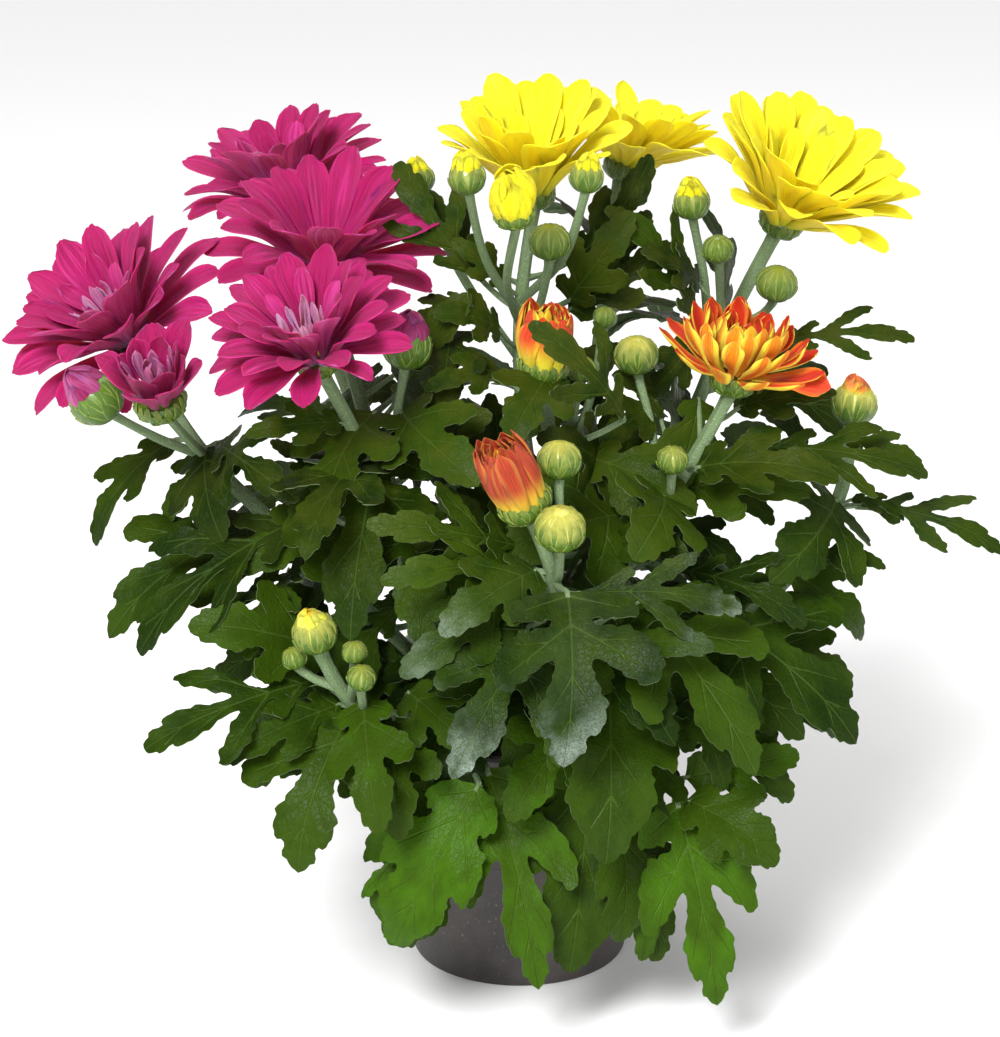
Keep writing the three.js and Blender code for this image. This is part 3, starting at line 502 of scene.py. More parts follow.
def spline(points, steps):
    """The smooth curve through the points, with the same number of steps between each two."""
    points = np.asarray(points, float)
    padded = np.vstack([2 * points[0] - points[1], points, 2 * points[-1] - points[-2]])
    t = np.linspace(0, 1, steps, endpoint=False)[:, None]
    spans = []
    for before, start, end, after in zip(padded, padded[1:], padded[2:], padded[3:]):
        leave = (end - before) / 2
        arrive = (after - start) / 2
        spans.append(
            (2 * t**3 - 3 * t**2 + 1) * start + (t**3 - 2 * t**2 + t) * leave
            + (3 * t**2 - 2 * t**3) * end + (t**3 - t**2) * arrive
        )
    return np.vstack([*spans, points[-1:]])


def lengths_along(line):
    """How far along a line each of its points lies."""
    return np.concatenate([[0], np.cumsum(np.linalg.norm(np.diff(line, axis=0), axis=1))])


def respaced(line, count):
    """The line again, in equal steps."""
    lengths = lengths_along(line)
    even = np.linspace(0, lengths[-1], count + 1)
    return np.stack([np.interp(even, lengths, line[:, axis]) for axis in range(line.shape[1])], 1)


def smooth_path(points, count):
    """The smooth curve through the points, in equal steps."""
    return respaced(spline(points, 16), count)


def add_object(name, data):
    """Puts a new object in the scene."""
    made = bpy.data.objects.new(name, data)
    bpy.context.scene.collection.objects.link(made)
    return made


class Piece:
    """The points and faces of one Blender object. Each point carries its place on the leaf, petal or
    stem that it belongs to, and three numbers for its look, which the materials read."""

    def __init__(self):
        self.points = []
        self.places = []
        self.looks = []
        self.faces = []
        self.finishes = []
        self.count = 0

    def add(self, points, groups, place, look):
        """Adds a closed form. A group is its faces, all with as many corners, and their material."""
        self.points.append(points)
        self.places.append(np.broadcast_to(place, (len(points), 3)))
        self.looks.append(np.broadcast_to(look, (len(points), 3)))
        for faces, finish in groups:
            self.faces.extend((np.asarray(faces) + self.count).tolist())
            self.finishes.append(np.full(len(faces), finish))
        self.count += len(points)

    def mesh(self, name):
        """The points and faces as a Blender mesh, in metres."""
        made = bpy.data.meshes.new(name)
        made.from_pydata((np.vstack(self.points) * METRES).tolist(), [], self.faces)
        return made

    def build(self, name, materials, nodes):
        """Makes the object, with its finishes and the nodes that it replaces."""
        mesh = self.mesh(name)
        for material in materials:
            mesh.materials.append(material)
        mesh.polygons.foreach_set("material_index", np.concatenate(self.finishes))
        for title, rows in (("place", self.places), ("look", self.looks)):
            layer = mesh.attributes.new(title, "FLOAT_VECTOR", "POINT")
            layer.data.foreach_set("vector", np.vstack(rows).ravel())
        mesh.shade_smooth()
        mesh.set_sharp_from_angle(angle=SHARP_EDGE)
        mesh.update()
        piece = add_object(name, mesh)
        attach(piece, "root")
        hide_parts(*nodes)
        return piece


def point_normals(points, faces):
    """The direction that the faces round each point look in."""
    corners = [points[faces[:, corner]] for corner in range(faces.shape[1])]
    if len(corners) == 4:
        across = np.cross(corners[2] - corners[0], corners[3] - corners[1])
    else:
        across = np.cross(corners[1] - corners[0], corners[2] - corners[0])
    normals = np.zeros_like(points)
    for corner in range(faces.shape[1]):
        np.add.at(normals, faces[:, corner], across)
    return normals / np.maximum(np.linalg.norm(normals, axis=1, keepdims=True), 1e-9)


def add_sheet(piece, points, faces, rim, thickness, place, look, finishes):
    """A thin closed sheet: a surface and a copy under it, joined by a wall round its rim. The finishes
    are those of its upper side, its under side and the wall."""
    half = np.reshape(thickness, (-1, 1)) / 2 * point_normals(points, faces)
    below = len(points)
    after = np.roll(rim, -1)
    walls = np.stack([after, rim, rim + below, after + below], 1)
    groups = list(zip([faces, faces[:, ::-1] + below, walls], finishes))
    piece.add(np.vstack([points + half, points - half]), groups, np.vstack([place, place]), look)


def add_blade(piece, points, along, across, thickness, seed, tone, finishes):
    """A closed sheet over a grid of points. Its thickness is that of its middle, its rim and its foot."""
    rows, columns = len(along), len(across)
    index = np.arange(rows * columns).reshape(rows, columns)
    quads = np.stack([index[:-1, :-1], index[:-1, 1:], index[1:, 1:], index[1:, :-1]], -1).reshape(-1, 4)
    rim = np.concatenate([index[0, :-1], index[:-1, -1], index[-1, :0:-1], index[:0:-1, 0]])
    depth = np.full(rows * columns, thickness[0])
    depth[rim] = thickness[1]
    depth[:columns] = thickness[2]
    place = np.stack([
        np.repeat(along, columns), np.tile(np.abs(across), rows), np.full(rows * columns, seed),
    ], 1)
    add_sheet(piece, points, quads, rim, depth, place, (tone, 0, 0), finishes)


def add_loft(piece, rings, ends, place=(0, 0, 0), tone=0.5, finish=0, stand=None):
    """A closed body through rings of points, from the point that caps the first to that of the last."""
    count, sides = rings.shape[:2]
    index = np.arange(count * sides).reshape(count, sides)
    ahead = np.roll(index, -1, axis=1)
    quads = np.stack([index[:-1], ahead[:-1], ahead[1:], index[1:]], -1).reshape(-1, 4)
    bottom = np.stack([ahead[0], index[0], np.full(sides, count * sides)], 1)
    top = np.stack([index[-1], ahead[-1], np.full(sides, count * sides + 1)], 1)
    points = np.vstack([rings.reshape(-1, 3), ends])
    if stand:
        points = stand(points)
    piece.add(points, [(quads, finish), (bottom, finish), (top, finish)], place, (tone, 0, 0))


def path_frames(path):
    """A side and an up direction along a path, without twist."""
    ahead = np.gradient(path, axis=0)
    ahead /= np.linalg.norm(ahead, axis=1, keepdims=True)
    side = unit(np.cross(ahead[0], [0, 0, 1] if abs(ahead[0][2]) < 0.9 else [1, 0, 0]))
    sides = []
    for direction in ahead:
        side = unit(side - direction * np.dot(side, direction))
        sides.append(side)
    sides = np.array(sides)
    return sides, np.cross(ahead, sides)


def add_tube(piece, path, radii, sides=20, ribs=0.0, seed=0.0, tone=0.5, finish=0):
    """A closed tube along a path, with ribs along it."""
    side, up = path_frames(path)
    turns = round_angles(sides)
    radii = np.broadcast_to(radii, len(path))
    ribbed = 1 + ribs * np.cos(5 * turns)
    ring = np.cos(turns)[None, :, None] * side[:, None] + np.sin(turns)[None, :, None] * up[:, None]
    rings = path[:, None] + ring * (radii[:, None] * ribbed)[:, :, None]
    steps = lengths_along(path)
    along = np.concatenate([np.repeat(steps, sides), [0, steps[-1]]]) / 10
    around = np.concatenate([np.tile(turns, len(path)), [0, 0]])
    place = np.stack([along, around, np.full(len(along), seed)], 1)
    add_loft(piece, rings, [path[0], path[-1]], place, tone, finish)


def add_turned(piece, profile, sides, stand=None, place=(0, 0, 0), tone=0.5, finish=0):
    """A closed body turned round +Z from a profile of [radius, height] that starts and ends on the axis."""
    radius, height = np.array(profile[1:-1], float).T
    turns = round_angles(sides)
    rings = np.stack([
        np.outer(radius, np.cos(turns)), np.outer(radius, np.sin(turns)),
        np.repeat(height[:, None], sides, axis=1),
    ], -1)
    ends = [[0, 0, profile[0][1]], [0, 0, profile[-1][1]]]
    add_loft(piece, rings, ends, place, tone, finish, stand)


# ---------------------------------------------------------------- materials


class Material:
    """A procedural material. Each method adds a node and gives what comes out of it."""

    def __init__(self, name):
        self.made = bpy.data.materials.new(name)
        self.made.use_nodes = True
        self.tree = self.made.node_tree
        self.tree.nodes.clear()

    def node(self, kind, inputs, **settings):
        """Adds a node. Each of its inputs is a value or what comes out of another node."""
        made = self.tree.nodes.new("ShaderNode" + kind)
        for name, value in settings.items():
            setattr(made, name, value)
        for key, value in inputs.items():
            if isinstance(value, bpy.types.NodeSocket):
                self.tree.links.new(value, made.inputs[key])
            else:
                made.inputs[key].default_value = value
        return made.outputs

    def times(self, first, second):
        return self.node("Math", {0: first, 1: second}, operation="MULTIPLY")[0]

    def plus(self, first, second, clamp=False):
        return self.node("Math", {0: first, 1: second}, operation="ADD", use_clamp=clamp)[0]

    def shifted(self, value, pattern, amount):
        """The value, moved up and down by a pattern of 0 to 1."""
        centred = self.node("Math", {0: pattern, 1: 0.5}, operation="SUBTRACT")[0]
        return self.plus(value, self.times(centred, amount))

    def mixed(self, factor, first, second):
        """The first colour, and the second as far as the factor says."""
        colours = [c if isinstance(c, bpy.types.NodeSocket) else (*c, 1) for c in (first, second)]
        return self.node("Mix", {0: factor, 6: colours[0], 7: colours[1]}, data_type="RGBA")[2]

    def stepped(self, value, low, high, start=0.0, end=1.0):
        """A soft step from start to end as the value goes from low to high."""
        inputs = {"Value": value, "From Min": low, "From Max": high, "To Min": start, "To Max": end}
        return self.node("MapRange", inputs, interpolation_type="SMOOTHSTEP")[0]

    def noise(self, vector, scale, detail=3.0, roughness=0.55):
        inputs = {"Vector": vector, "Scale": scale, "Detail": detail, "Roughness": roughness}
        return self.node("TexNoise", inputs)["Fac"]

    def attribute(self, name):
        """A point attribute's vector and its three numbers."""
        vector = self.node("Attribute", {}, attribute_name=name)["Vector"]
        return vector, *self.node("SeparateXYZ", {0: vector})

    def scaled(self, vector, scale):
        return self.node("VectorMath", {0: vector, 1: scale}, operation="MULTIPLY")[0]

    def object_place(self):
        return self.node("TexCoord", {})["Object"]

    def shaded(self, colour, roughness, height=None, distance=0.0, more=None):
        """Ends in one principled shader, with a bump from a height. Gives the finished material."""
        inputs = {"Base Color": colour, "Roughness": roughness, **(more or {})}
        if height is not None:
            bump = self.node("Bump", {"Height": height, "Distance": distance, "Strength": 1.0})
            inputs["Normal"] = bump[0]
        self.node("OutputMaterial", {0: self.node("BsdfPrincipled", inputs)[0]})
        return self.made


def leaf_coordinates(m):
    """A leaf's place, how much of a vein is there and its net of small veins."""
    vector, *_ = m.attribute("place")
    *_, away = m.attribute("look")
    cells = {"Vector": m.scaled(vector, (1, 1, 10)), "Scale": 30.0}
    edge = m.node("TexVoronoi", cells, feature="DISTANCE_TO_EDGE")["Distance"]
    return vector, m.stepped(away, 1.5, 0.1), m.stepped(edge, 0.0, 0.09, 1.0, 0.0)


def leaf_upper():
    """From dark to bright green by the tone, olive at the top of the plant, and grey where it has down and a
    painted sheen of glare.
    """
    m = Material("leaf_upper")
    vector, vein, net = leaf_coordinates(m)
    _, tone, down_and_glare, _ = m.attribute("look")
    place = m.object_place()
    blotch = m.noise(m.scaled(vector, (1, 1, 25)), 4.0, 4.0)
    tone = m.shifted(tone, blotch, 0.9)
    colour = m.mixed(m.stepped(tone, 0.0, 0.6), (0.006, 0.016, 0.001), (0.023, 0.048, 0.002))
    colour = m.mixed(m.stepped(tone, 0.55, 1.1), colour, (0.040, 0.108, 0.003))
    high = m.stepped(m.node("SeparateXYZ", {0: place})[2], 0.12, 0.20, 0.0, 0.6)
    colour = m.mixed(m.times(high, m.stepped(blotch, 0.3, 0.7)), colour, (0.040, 0.042, 0.004))
    colour = m.mixed(m.times(net, 0.08), colour, (0.05, 0.10, 0.006))
    colour = m.mixed(m.times(vein, 0.3), colour, (0.07, 0.12, 0.02))
    # The grey fleck on the young leaves' tips is partly down and partly a painted sheen of glare.
    fleck = m.stepped(m.noise(place, 1900.0), 0.3, 0.7, 0.4, 1.0)
    cloud = m.stepped(m.noise(place, 90.0), 0.3, 0.7)
    down_and_glare_mask = m.times(m.times(fleck, down_and_glare), cloud)
    colour = m.mixed(down_and_glare_mask, colour, (0.36, 0.44, 0.37))
    grooves = m.plus(m.times(vein, -0.3), m.times(net, -0.08))
    height = m.plus(grooves, m.times(m.noise(place, 420.0, 4.0, 0.62), 0.6))
    rough = m.plus(m.times(down_and_glare_mask, 0.2), 0.28)
    return m.shaded(colour, rough, height, 0.0008, {"Specular IOR Level": 0.05})


def leaf_under():
    """Paler than above, with the veins standing out light."""
    m = Material("leaf_under")
    vector, vein, net = leaf_coordinates(m)
    blotch = m.noise(m.scaled(vector, (1, 1, 25)), 5.0, 4.0)
    colour = m.mixed(blotch, (0.07, 0.12, 0.045), (0.12, 0.18, 0.07))
    colour = m.mixed(m.times(net, 0.3), colour, (0.15, 0.21, 0.10))
    colour = m.mixed(vein, colour, (0.21, 0.27, 0.14))
    down = m.noise(m.object_place(), 1500.0)
    height = m.plus(m.times(net, 0.5), m.times(down, 0.5))
    return m.shaded(colour, 0.72, height, 0.0004, {"Specular IOR Level": 0.12})


def stem_green():
    """Streaked green under grey down."""
    m = Material("stem_green")
    vector, *_ = m.attribute("place")
    _, tone, *_ = m.attribute("look")
    streak = m.noise(m.scaled(vector, (0.35, 2.2, 20)), 2.2, 4.0)
    colour = m.mixed(streak, (0.10, 0.165, 0.06), (0.23, 0.31, 0.17))
    colour = m.mixed(m.times(tone, 0.5), colour, (0.10, 0.19, 0.045))
    down = m.stepped(m.noise(m.object_place(), 1700.0, 2.0), 0.45, 0.65)
    colour = m.mixed(m.times(down, 0.3), colour, (0.40, 0.45, 0.36))
    height = m.plus(m.times(streak, 0.7), m.times(down, 0.5))
    return m.shaded(colour, 0.62, height, 0.0004, {"Specular IOR Level": 0.2})


def bract_green():
    """Cup and bud scales: a glossy green middle between pale margins, and a cream end on the inner ones."""
    m = Material("bract_green")
    vector, along, across, _ = m.attribute("place")
    _, tone, *_ = m.attribute("look")
    place = m.object_place()
    streak = m.noise(m.scaled(vector, (1.2, 7, 40)), 3.0, 4.0)
    patch = m.stepped(m.noise(place, 230.0), 0.45, 0.75, 0.0, 0.4)
    green = m.mixed(streak, (0.028, 0.082, 0.004), (0.10, 0.19, 0.012))
    cream = m.plus(m.times(tone, m.stepped(along, 0.5, 1.0)), m.times(tone, patch), clamp=True)
    green = m.mixed(cream, green, (0.46, 0.43, 0.07))
    edge = m.stepped(m.shifted(across, streak, 0.7), 0.66, 1.1)
    margin = m.times(edge, m.stepped(along, 0.2, 0.8, 0.15, 0.7))
    colour = m.mixed(margin, green, (0.38, 0.44, 0.11))
    height = m.plus(streak, m.times(m.noise(place, 1500.0, 2.0), 0.5))
    return m.shaded(colour, 0.26, height, 0.00025)


def petal_finish(name, dark, middle, light, foot, edge, edge_amount=0.35, edge_start=0.55, foot_reach=0.28,
                 tip=None):
    """A petal's one side: streaks along it, broad patches of its light colour that are partly its own tone
    and partly a painted sheen, and its own colour at the foot, the edges and the tip.
    """
    m = Material(name)
    vector, along, across, _ = m.attribute("place")
    _, tone, *_ = m.attribute("look")
    streak = m.noise(m.scaled(vector, (1.1, 5.5, 60)), 2.4, 5.0, 0.6)
    broad = m.noise(m.scaled(vector, (0.8, 1.6, 31)), 2.0, 2.0)
    colour = m.mixed(m.stepped(streak, 0.35, 0.65), dark, middle)
    # Broad patches of the light colour: partly the petal's own tone, partly a painted sheen.
    tone_and_sheen = m.plus(broad, m.times(tone, 0.5))
    colour = m.mixed(m.stepped(tone_and_sheen, 0.55, 1.0), colour, light)
    colour = m.mixed(m.stepped(along, foot_reach, 0.25 * foot_reach - 0.07), colour, foot)
    rim = m.stepped(m.shifted(across, streak, 0.4), edge_start, edge_start + 0.45)
    colour = m.mixed(m.times(rim, edge_amount), colour, edge)
    if tip:
        colour = m.mixed(m.stepped(along, 0.72, 1.02), colour, tip)
    grain = m.noise(m.scaled(vector, (3, 22, 60)), 3.0)
    height = m.plus(streak, m.times(grain, 0.6))
    soft = {"Specular IOR Level": 0.15, "Sheen Weight": 0.04, "Sheen Roughness": 0.4,
            "Subsurface Weight": 0.7, "Subsurface Radius": (1.0, 0.7, 0.3), "Subsurface Scale": 0.002}
    return m.shaded(colour, 0.5, height, 0.00035, soft)


def disc_finish():
    """From green at a floret's foot to yellow at its end."""
    m = Material("disc_florets")
    vector, along, *_ = m.attribute("place")
    colour = m.mixed(m.stepped(along, 0.2, 0.9), (0.30, 0.36, 0.03), (0.80, 0.66, 0.03))
    colour = m.mixed(m.noise(m.scaled(vector, (1, 1, 50)), 3.0), colour, (0.60, 0.58, 0.04))
    return m.shaded(colour, 0.6, m.noise(m.object_place(), 1800.0), 0.0002)


def pot_plastic():
    """Dull dark plastic with clouds, scuffs round it and specks of dirt."""
    m = Material("pot_plastic")
    place = m.object_place()
    cloud = m.noise(place, 38.0, 5.0, 0.65)
    colour = m.mixed(m.stepped(cloud, 0.3, 0.75), (0.018, 0.015, 0.014), (0.062, 0.052, 0.048))
    scuff = m.stepped(m.noise(m.scaled(place, (1, 1, 9)), 95.0, 5.0, 0.7), 0.62, 0.78)
    colour = m.mixed(m.times(scuff, 0.5), colour, (0.13, 0.11, 0.10))
    speck = m.stepped(m.noise(place, 900.0, 2.0), 0.66, 0.74)
    colour = m.mixed(m.times(speck, 0.6), colour, (0.20, 0.16, 0.12))
    height = m.plus(m.noise(place, 420.0, 4.0), m.times(scuff, 0.7))
    return m.shaded(colour, m.stepped(cloud, 0.2, 0.8, 0.38, 0.62), height, 0.00025)


def soil_peat():
    """Dark clods with a few lighter fibres."""
    m = Material("soil_peat")
    place = m.object_place()
    clod = m.noise(place, 260.0, 6.0, 0.7)
    colour = m.mixed(m.stepped(clod, 0.3, 0.7), (0.012, 0.008, 0.005), (0.06, 0.038, 0.022))
    fibre = m.stepped(m.noise(m.scaled(place, (1, 6, 1)), 420.0, 2.0), 0.64, 0.72)
    colour = m.mixed(m.times(fibre, 0.5), colour, (0.16, 0.10, 0.05))
    return m.shaded(colour, 0.95, clod, 0.0014)


def plain_noise(name, scale, first, second, roughness):
    """Two colours mixed by noise."""
    m = Material(name)
    place = m.object_place()
    colour = m.mixed(m.noise(place, scale), first, second)
    return m.shaded(colour, roughness, m.noise(place, 1500.0), 0.0002)


# The wall round a leaf's rim is paler green than its faces, in part a painted glint along the edges.
LEAF_RIM = plain_noise("leaf_rim", 500.0, (0.03, 0.06, 0.01), (0.10, 0.14, 0.05), 0.6)
LEAF = [leaf_upper(), leaf_under(), LEAF_RIM, stem_green(), bract_green()]
UPPER, UNDER, RIM, STEM, BRACT = range(5)
# The finishes of each colour's petals, as their dark, middle and light, and the foot's and the edges'
# colour. A petal has the first inside and the second outside, and the rest are for special petals.
PETALS = {
    "magenta": [
        petal_finish("magenta_inside", (0.24, 0.004, 0.065), (0.40, 0.008, 0.125), (0.58, 0.04, 0.25),
                     (0.48, 0.05, 0.23), (0.46, 0.012, 0.16)),
        petal_finish("magenta_back", (0.34, 0.02, 0.14), (0.50, 0.07, 0.26), (0.60, 0.18, 0.42),
                     (0.52, 0.22, 0.38), (0.46, 0.02, 0.18)),
        petal_finish("magenta_young", (0.17, 0.005, 0.05), (0.30, 0.015, 0.11), (0.42, 0.09, 0.25),
                     (0.34, 0.15, 0.16), (0.42, 0.05, 0.20)),
        petal_finish("magenta_quill", (0.38, 0.05, 0.20), (0.54, 0.17, 0.36), (0.68, 0.35, 0.54),
                     (0.46, 0.10, 0.26), (0.50, 0.08, 0.28)),
    ],
    "yellow": [
        petal_finish("yellow_inside", (0.84, 0.68, 0.008), (0.90, 0.80, 0.02), (0.93, 0.88, 0.07),
                     (0.66, 0.60, 0.012), (0.92, 0.84, 0.03)),
        petal_finish("yellow_back", (0.82, 0.56, 0.004), (0.88, 0.70, 0.008), (0.91, 0.80, 0.03),
                     (0.56, 0.55, 0.02), (0.90, 0.78, 0.012)),
    ],
    "orange": [
        petal_finish("orange_inside", (0.44, 0.014, 0.004), (0.60, 0.035, 0.008), (0.70, 0.07, 0.022),
                     (0.85, 0.42, 0.01), (0.84, 0.22, 0.02), edge_amount=0.6),
        petal_finish("orange_back", (0.62, 0.13, 0.006), (0.82, 0.30, 0.01), (0.90, 0.46, 0.02),
                     (0.72, 0.22, 0.01), (0.95, 0.72, 0.06), edge_amount=0.95, edge_start=0.35),
        petal_finish("orange_young", (0.52, 0.035, 0.01), (0.68, 0.085, 0.02), (0.80, 0.20, 0.06),
                     (0.92, 0.70, 0.04), (0.90, 0.50, 0.03), edge_amount=0.85, foot_reach=0.72),
        petal_finish("orange_bud", (0.90, 0.66, 0.02), (0.94, 0.80, 0.04), (0.95, 0.86, 0.12),
                     (0.50, 0.60, 0.08), (0.62, 0.70, 0.12), edge_amount=0.6, foot_reach=0.5,
                     tip=(0.88, 0.42, 0.02)),
        petal_finish("orange_closed", (0.26, 0.022, 0.01), (0.48, 0.065, 0.02), (0.66, 0.17, 0.06),
                     (0.88, 0.55, 0.04), (0.60, 0.22, 0.03), edge_amount=0.7, foot_reach=0.5),
    ],
}
DISC = disc_finish()


# ---------------------------------------------------------------- leaves


def inside(polygon, points):
    """Which of the points lie inside a polygon."""
    x, y = points[:, :1], points[:, 1:]
    x1, y1 = polygon.T
    x2, y2 = np.roll(polygon, -1, axis=0).T
    crosses = (y1 > y) != (y2 > y)
    at = x1 + (y - y1) / np.where(y2 == y1, 1, y2 - y1) * (x2 - x1)
    return (crosses & (x < at)).sum(1) % 2 == 1


def rim_order(faces):
    """The points round the edge of a triangulated sheet, in order."""
    edges = {(face[k], face[(k + 1) % 3]) for face in faces for k in range(3)}
    following = {a: b for a, b in edges if (b, a) not in edges}
    start = min(following)
    order = [start]
    while following[order[-1]] != start:
        order.append(following[order[-1]])
    return np.array(order)


def vein_distances(veins, along, across):
    """How far each place on a leaf is from its nearest vein, in leaf lengths and in vein half-widths."""
    place = np.stack([along, np.abs(across)], 1)
    gaps = []
    shares = []
    for start, end, half in veins:
        start = np.array(start)
        run = np.array(end) - start
        t = np.clip((place - start) @ run / (run @ run), 0, 1)
        gap = np.linalg.norm(place - start - t[:, None] * run, axis=1)
        gaps.append(gap)
        shares.append(gap / (half * (1.3 - 0.7 * t)))
    return np.min(gaps, axis=0), np.min(shares, axis=0)


def toothed(outline, length, depth):
    """The outline with small uneven teeth that point forward. There are none in the notches between
    lobes."""
    total = np.linalg.norm(np.diff(outline, axis=0), axis=1).sum()
    count = round(total / length) * TOOTH_STEPS
    line = respaced(outline, count)
    ahead = np.gradient(line, axis=0)
    ahead /= np.linalg.norm(ahead, axis=1, keepdims=True)
    outward = np.stack([ahead[:, 1], -ahead[:, 0]], 1)
    number = np.arange(count + 1)
    before = ahead[np.maximum(number - TOOTH_STEPS // 2, 0)]
    after = ahead[np.minimum(number + TOOTH_STEPS // 2, count)]
    turn = before[:, 0] * after[:, 1] - before[:, 1] * after[:, 0]
    saw = np.array([0.0, 0.45, 0.85, 1.0])[number % TOOTH_STEPS]
    uneven = 0.75 + 0.45 * np.sin(2.3 * (number // TOOTH_STEPS))
    fade = smoothstep(turn, -0.75, -0.2) * smoothstep(number, 4, 9) * smoothstep(count - number, 0, 3)
    return line + outward * (depth * saw * uneven * fade)[:, None]


def vein_bridges(flat, faces, veins):
    """The middles of the edges that run from one vein to another across the blade between them."""
    on_vein = vein_distances(veins, flat[:, 1], flat[:, 0])[0] < 1e-4
    pairs = {tuple(sorted((face[k], face[k - 1]))) for face in faces.tolist() for k in range(3)}
    pairs = np.array(sorted(pairs))
    pairs = pairs[on_vein[pairs].all(1)]
    middles = flat[pairs].mean(1)
    return middles[vein_distances(veins, middles[:, 1], middles[:, 0])[0] > VEIN_GAP]


def leaf_template(outline, veins, spacing, tooth, shear):
    """A flat leaf in triangles, with edges along its veins. Its coordinates are across and along."""
    right = toothed(spline([[across, along] for along, across in outline], 8), *tooth)
    whole = np.vstack([right, right[-2::-1] * [-1, 1]])
    points = list(map(tuple, whole))
    edges = [(k, (k + 1) % len(points)) for k in range(len(points))]
    vein_points = []
    for start, end, _ in veins:
        for mirror in (1, -1) if end[1] else (1,):
            low, high = (0.0, 0.9) if end[1] else (0.03, 0.97)
            length = np.hypot(end[0] - start[0], end[1] - start[1])
            count = max(int(length * (high - low) / spacing), 2)
            for k, t in enumerate(np.linspace(low, high, count + 1)):
                across = mirror * (start[1] + t * (end[1] - start[1]))
                points.append((across, start[0] + t * (end[0] - start[0])))
                vein_points.append(points[-1])
                if k:
                    edges.append((len(points) - 2, len(points) - 1))
    step_up = spacing * math.sqrt(3) / 2
    rows = []
    for row in range(int(1 / step_up) + 1):
        shift = spacing / 2 if row % 2 else 0
        columns = np.arange(-0.54 + shift, 0.54, spacing)
        rows.append(np.stack([columns, np.full(len(columns), row * step_up)], 1))
    fill = np.vstack(rows)
    fill = fill[inside(whole, fill)]
    fixed = np.vstack([whole, vein_points])
    clear = np.linalg.norm(fill[:, None] - fixed[None], axis=2).min(1) > 0.6 * spacing
    points.extend(map(tuple, fill[clear]))
    for _ in range(3):
        result = delaunay_2d_cdt([Vector(point) for point in points], edges, [], 1, 1e-5)
        flat = np.array([tuple(point) for point in result[0]])
        faces = np.array(result[2])
        points.extend(map(tuple, vein_bridges(flat, faces, veins)))
    across, along = flat.T
    far, away = vein_distances(veins, along, across)
    return {
        "along": along, "across": across, "faces": faces, "rim": rim_order(faces.tolist()),
        "far": far, "away": away, "veins": veins, "shear": shear,
    }


TEMPLATES = {kind: leaf_template(**form) for kind, form in LEAF_FORMS.items()}


def leaf_surface(template, base, tip, width, outward, rng):
    """A function from [along, across] on a leaf to points in space: an arched, folded, waved blade."""
    reach = tip - base
    length = np.linalg.norm(reach)
    forward = reach / length
    normal = unit(outward - forward * np.dot(outward, forward))
    side = np.cross(forward, normal)
    fold = rng.uniform(0.08, 0.26)
    recurve = rng.uniform(0.15, 0.5)
    droop = rng.uniform(0.25, 0.75)
    wave = rng.uniform(0.014, 0.032)
    phase = rng.uniform(0, 1, 2)
    bend = rng.uniform(-0.12, 0.12)
    twist = rng.uniform(-0.22, 0.22)
    lopsided = rng.uniform(-0.08, 0.08)
    flop = rng.uniform(-0.16, 0.12, (2, 2))
    stagger = rng.uniform(-0.03, 0.03)

    def surface(along, across):
        size = np.abs(across)
        right = across > 0
        ahead = along + template["shear"] * size + np.where(right, stagger, -stagger) * size / LEAF_HALF
        span = across * length * width * np.where(right, 1 + lopsided, 1 - lopsided)
        soft = 0.05 * length
        rise = LEAF_BOW * length * 4 * ahead * (1 - ahead)
        rise = rise + fold * (np.sqrt(span**2 + soft**2) - soft) - recurve * span**2 / length
        rise = rise - droop * length * (np.clip(ahead - 0.62, 0, 1) ** 2 - 0.38**2 * ahead)
        ripple = np.sin(FULL_TURN * (2.6 * ahead + np.where(right, phase[0], phase[1])))
        rise = rise + wave * length * size / LEAF_HALF * ripple + twist * span * ahead
        lower = smoothstep(ahead, 0.42, 0.2)
        lobe = np.where(right, flop[0, 0], flop[1, 0]) * lower
        lobe = lobe + np.where(right, flop[0, 1], flop[1, 1]) * (1 - lower)
        rise = rise + lobe * length * width * np.clip(size - 0.12, 0, 1)
        sideways = span + bend * length * ahead * (ahead - 1)
        return base + np.outer(ahead * length, forward) + np.outer(sideways, side) + np.outer(rise, normal)

    return surface, length, normal


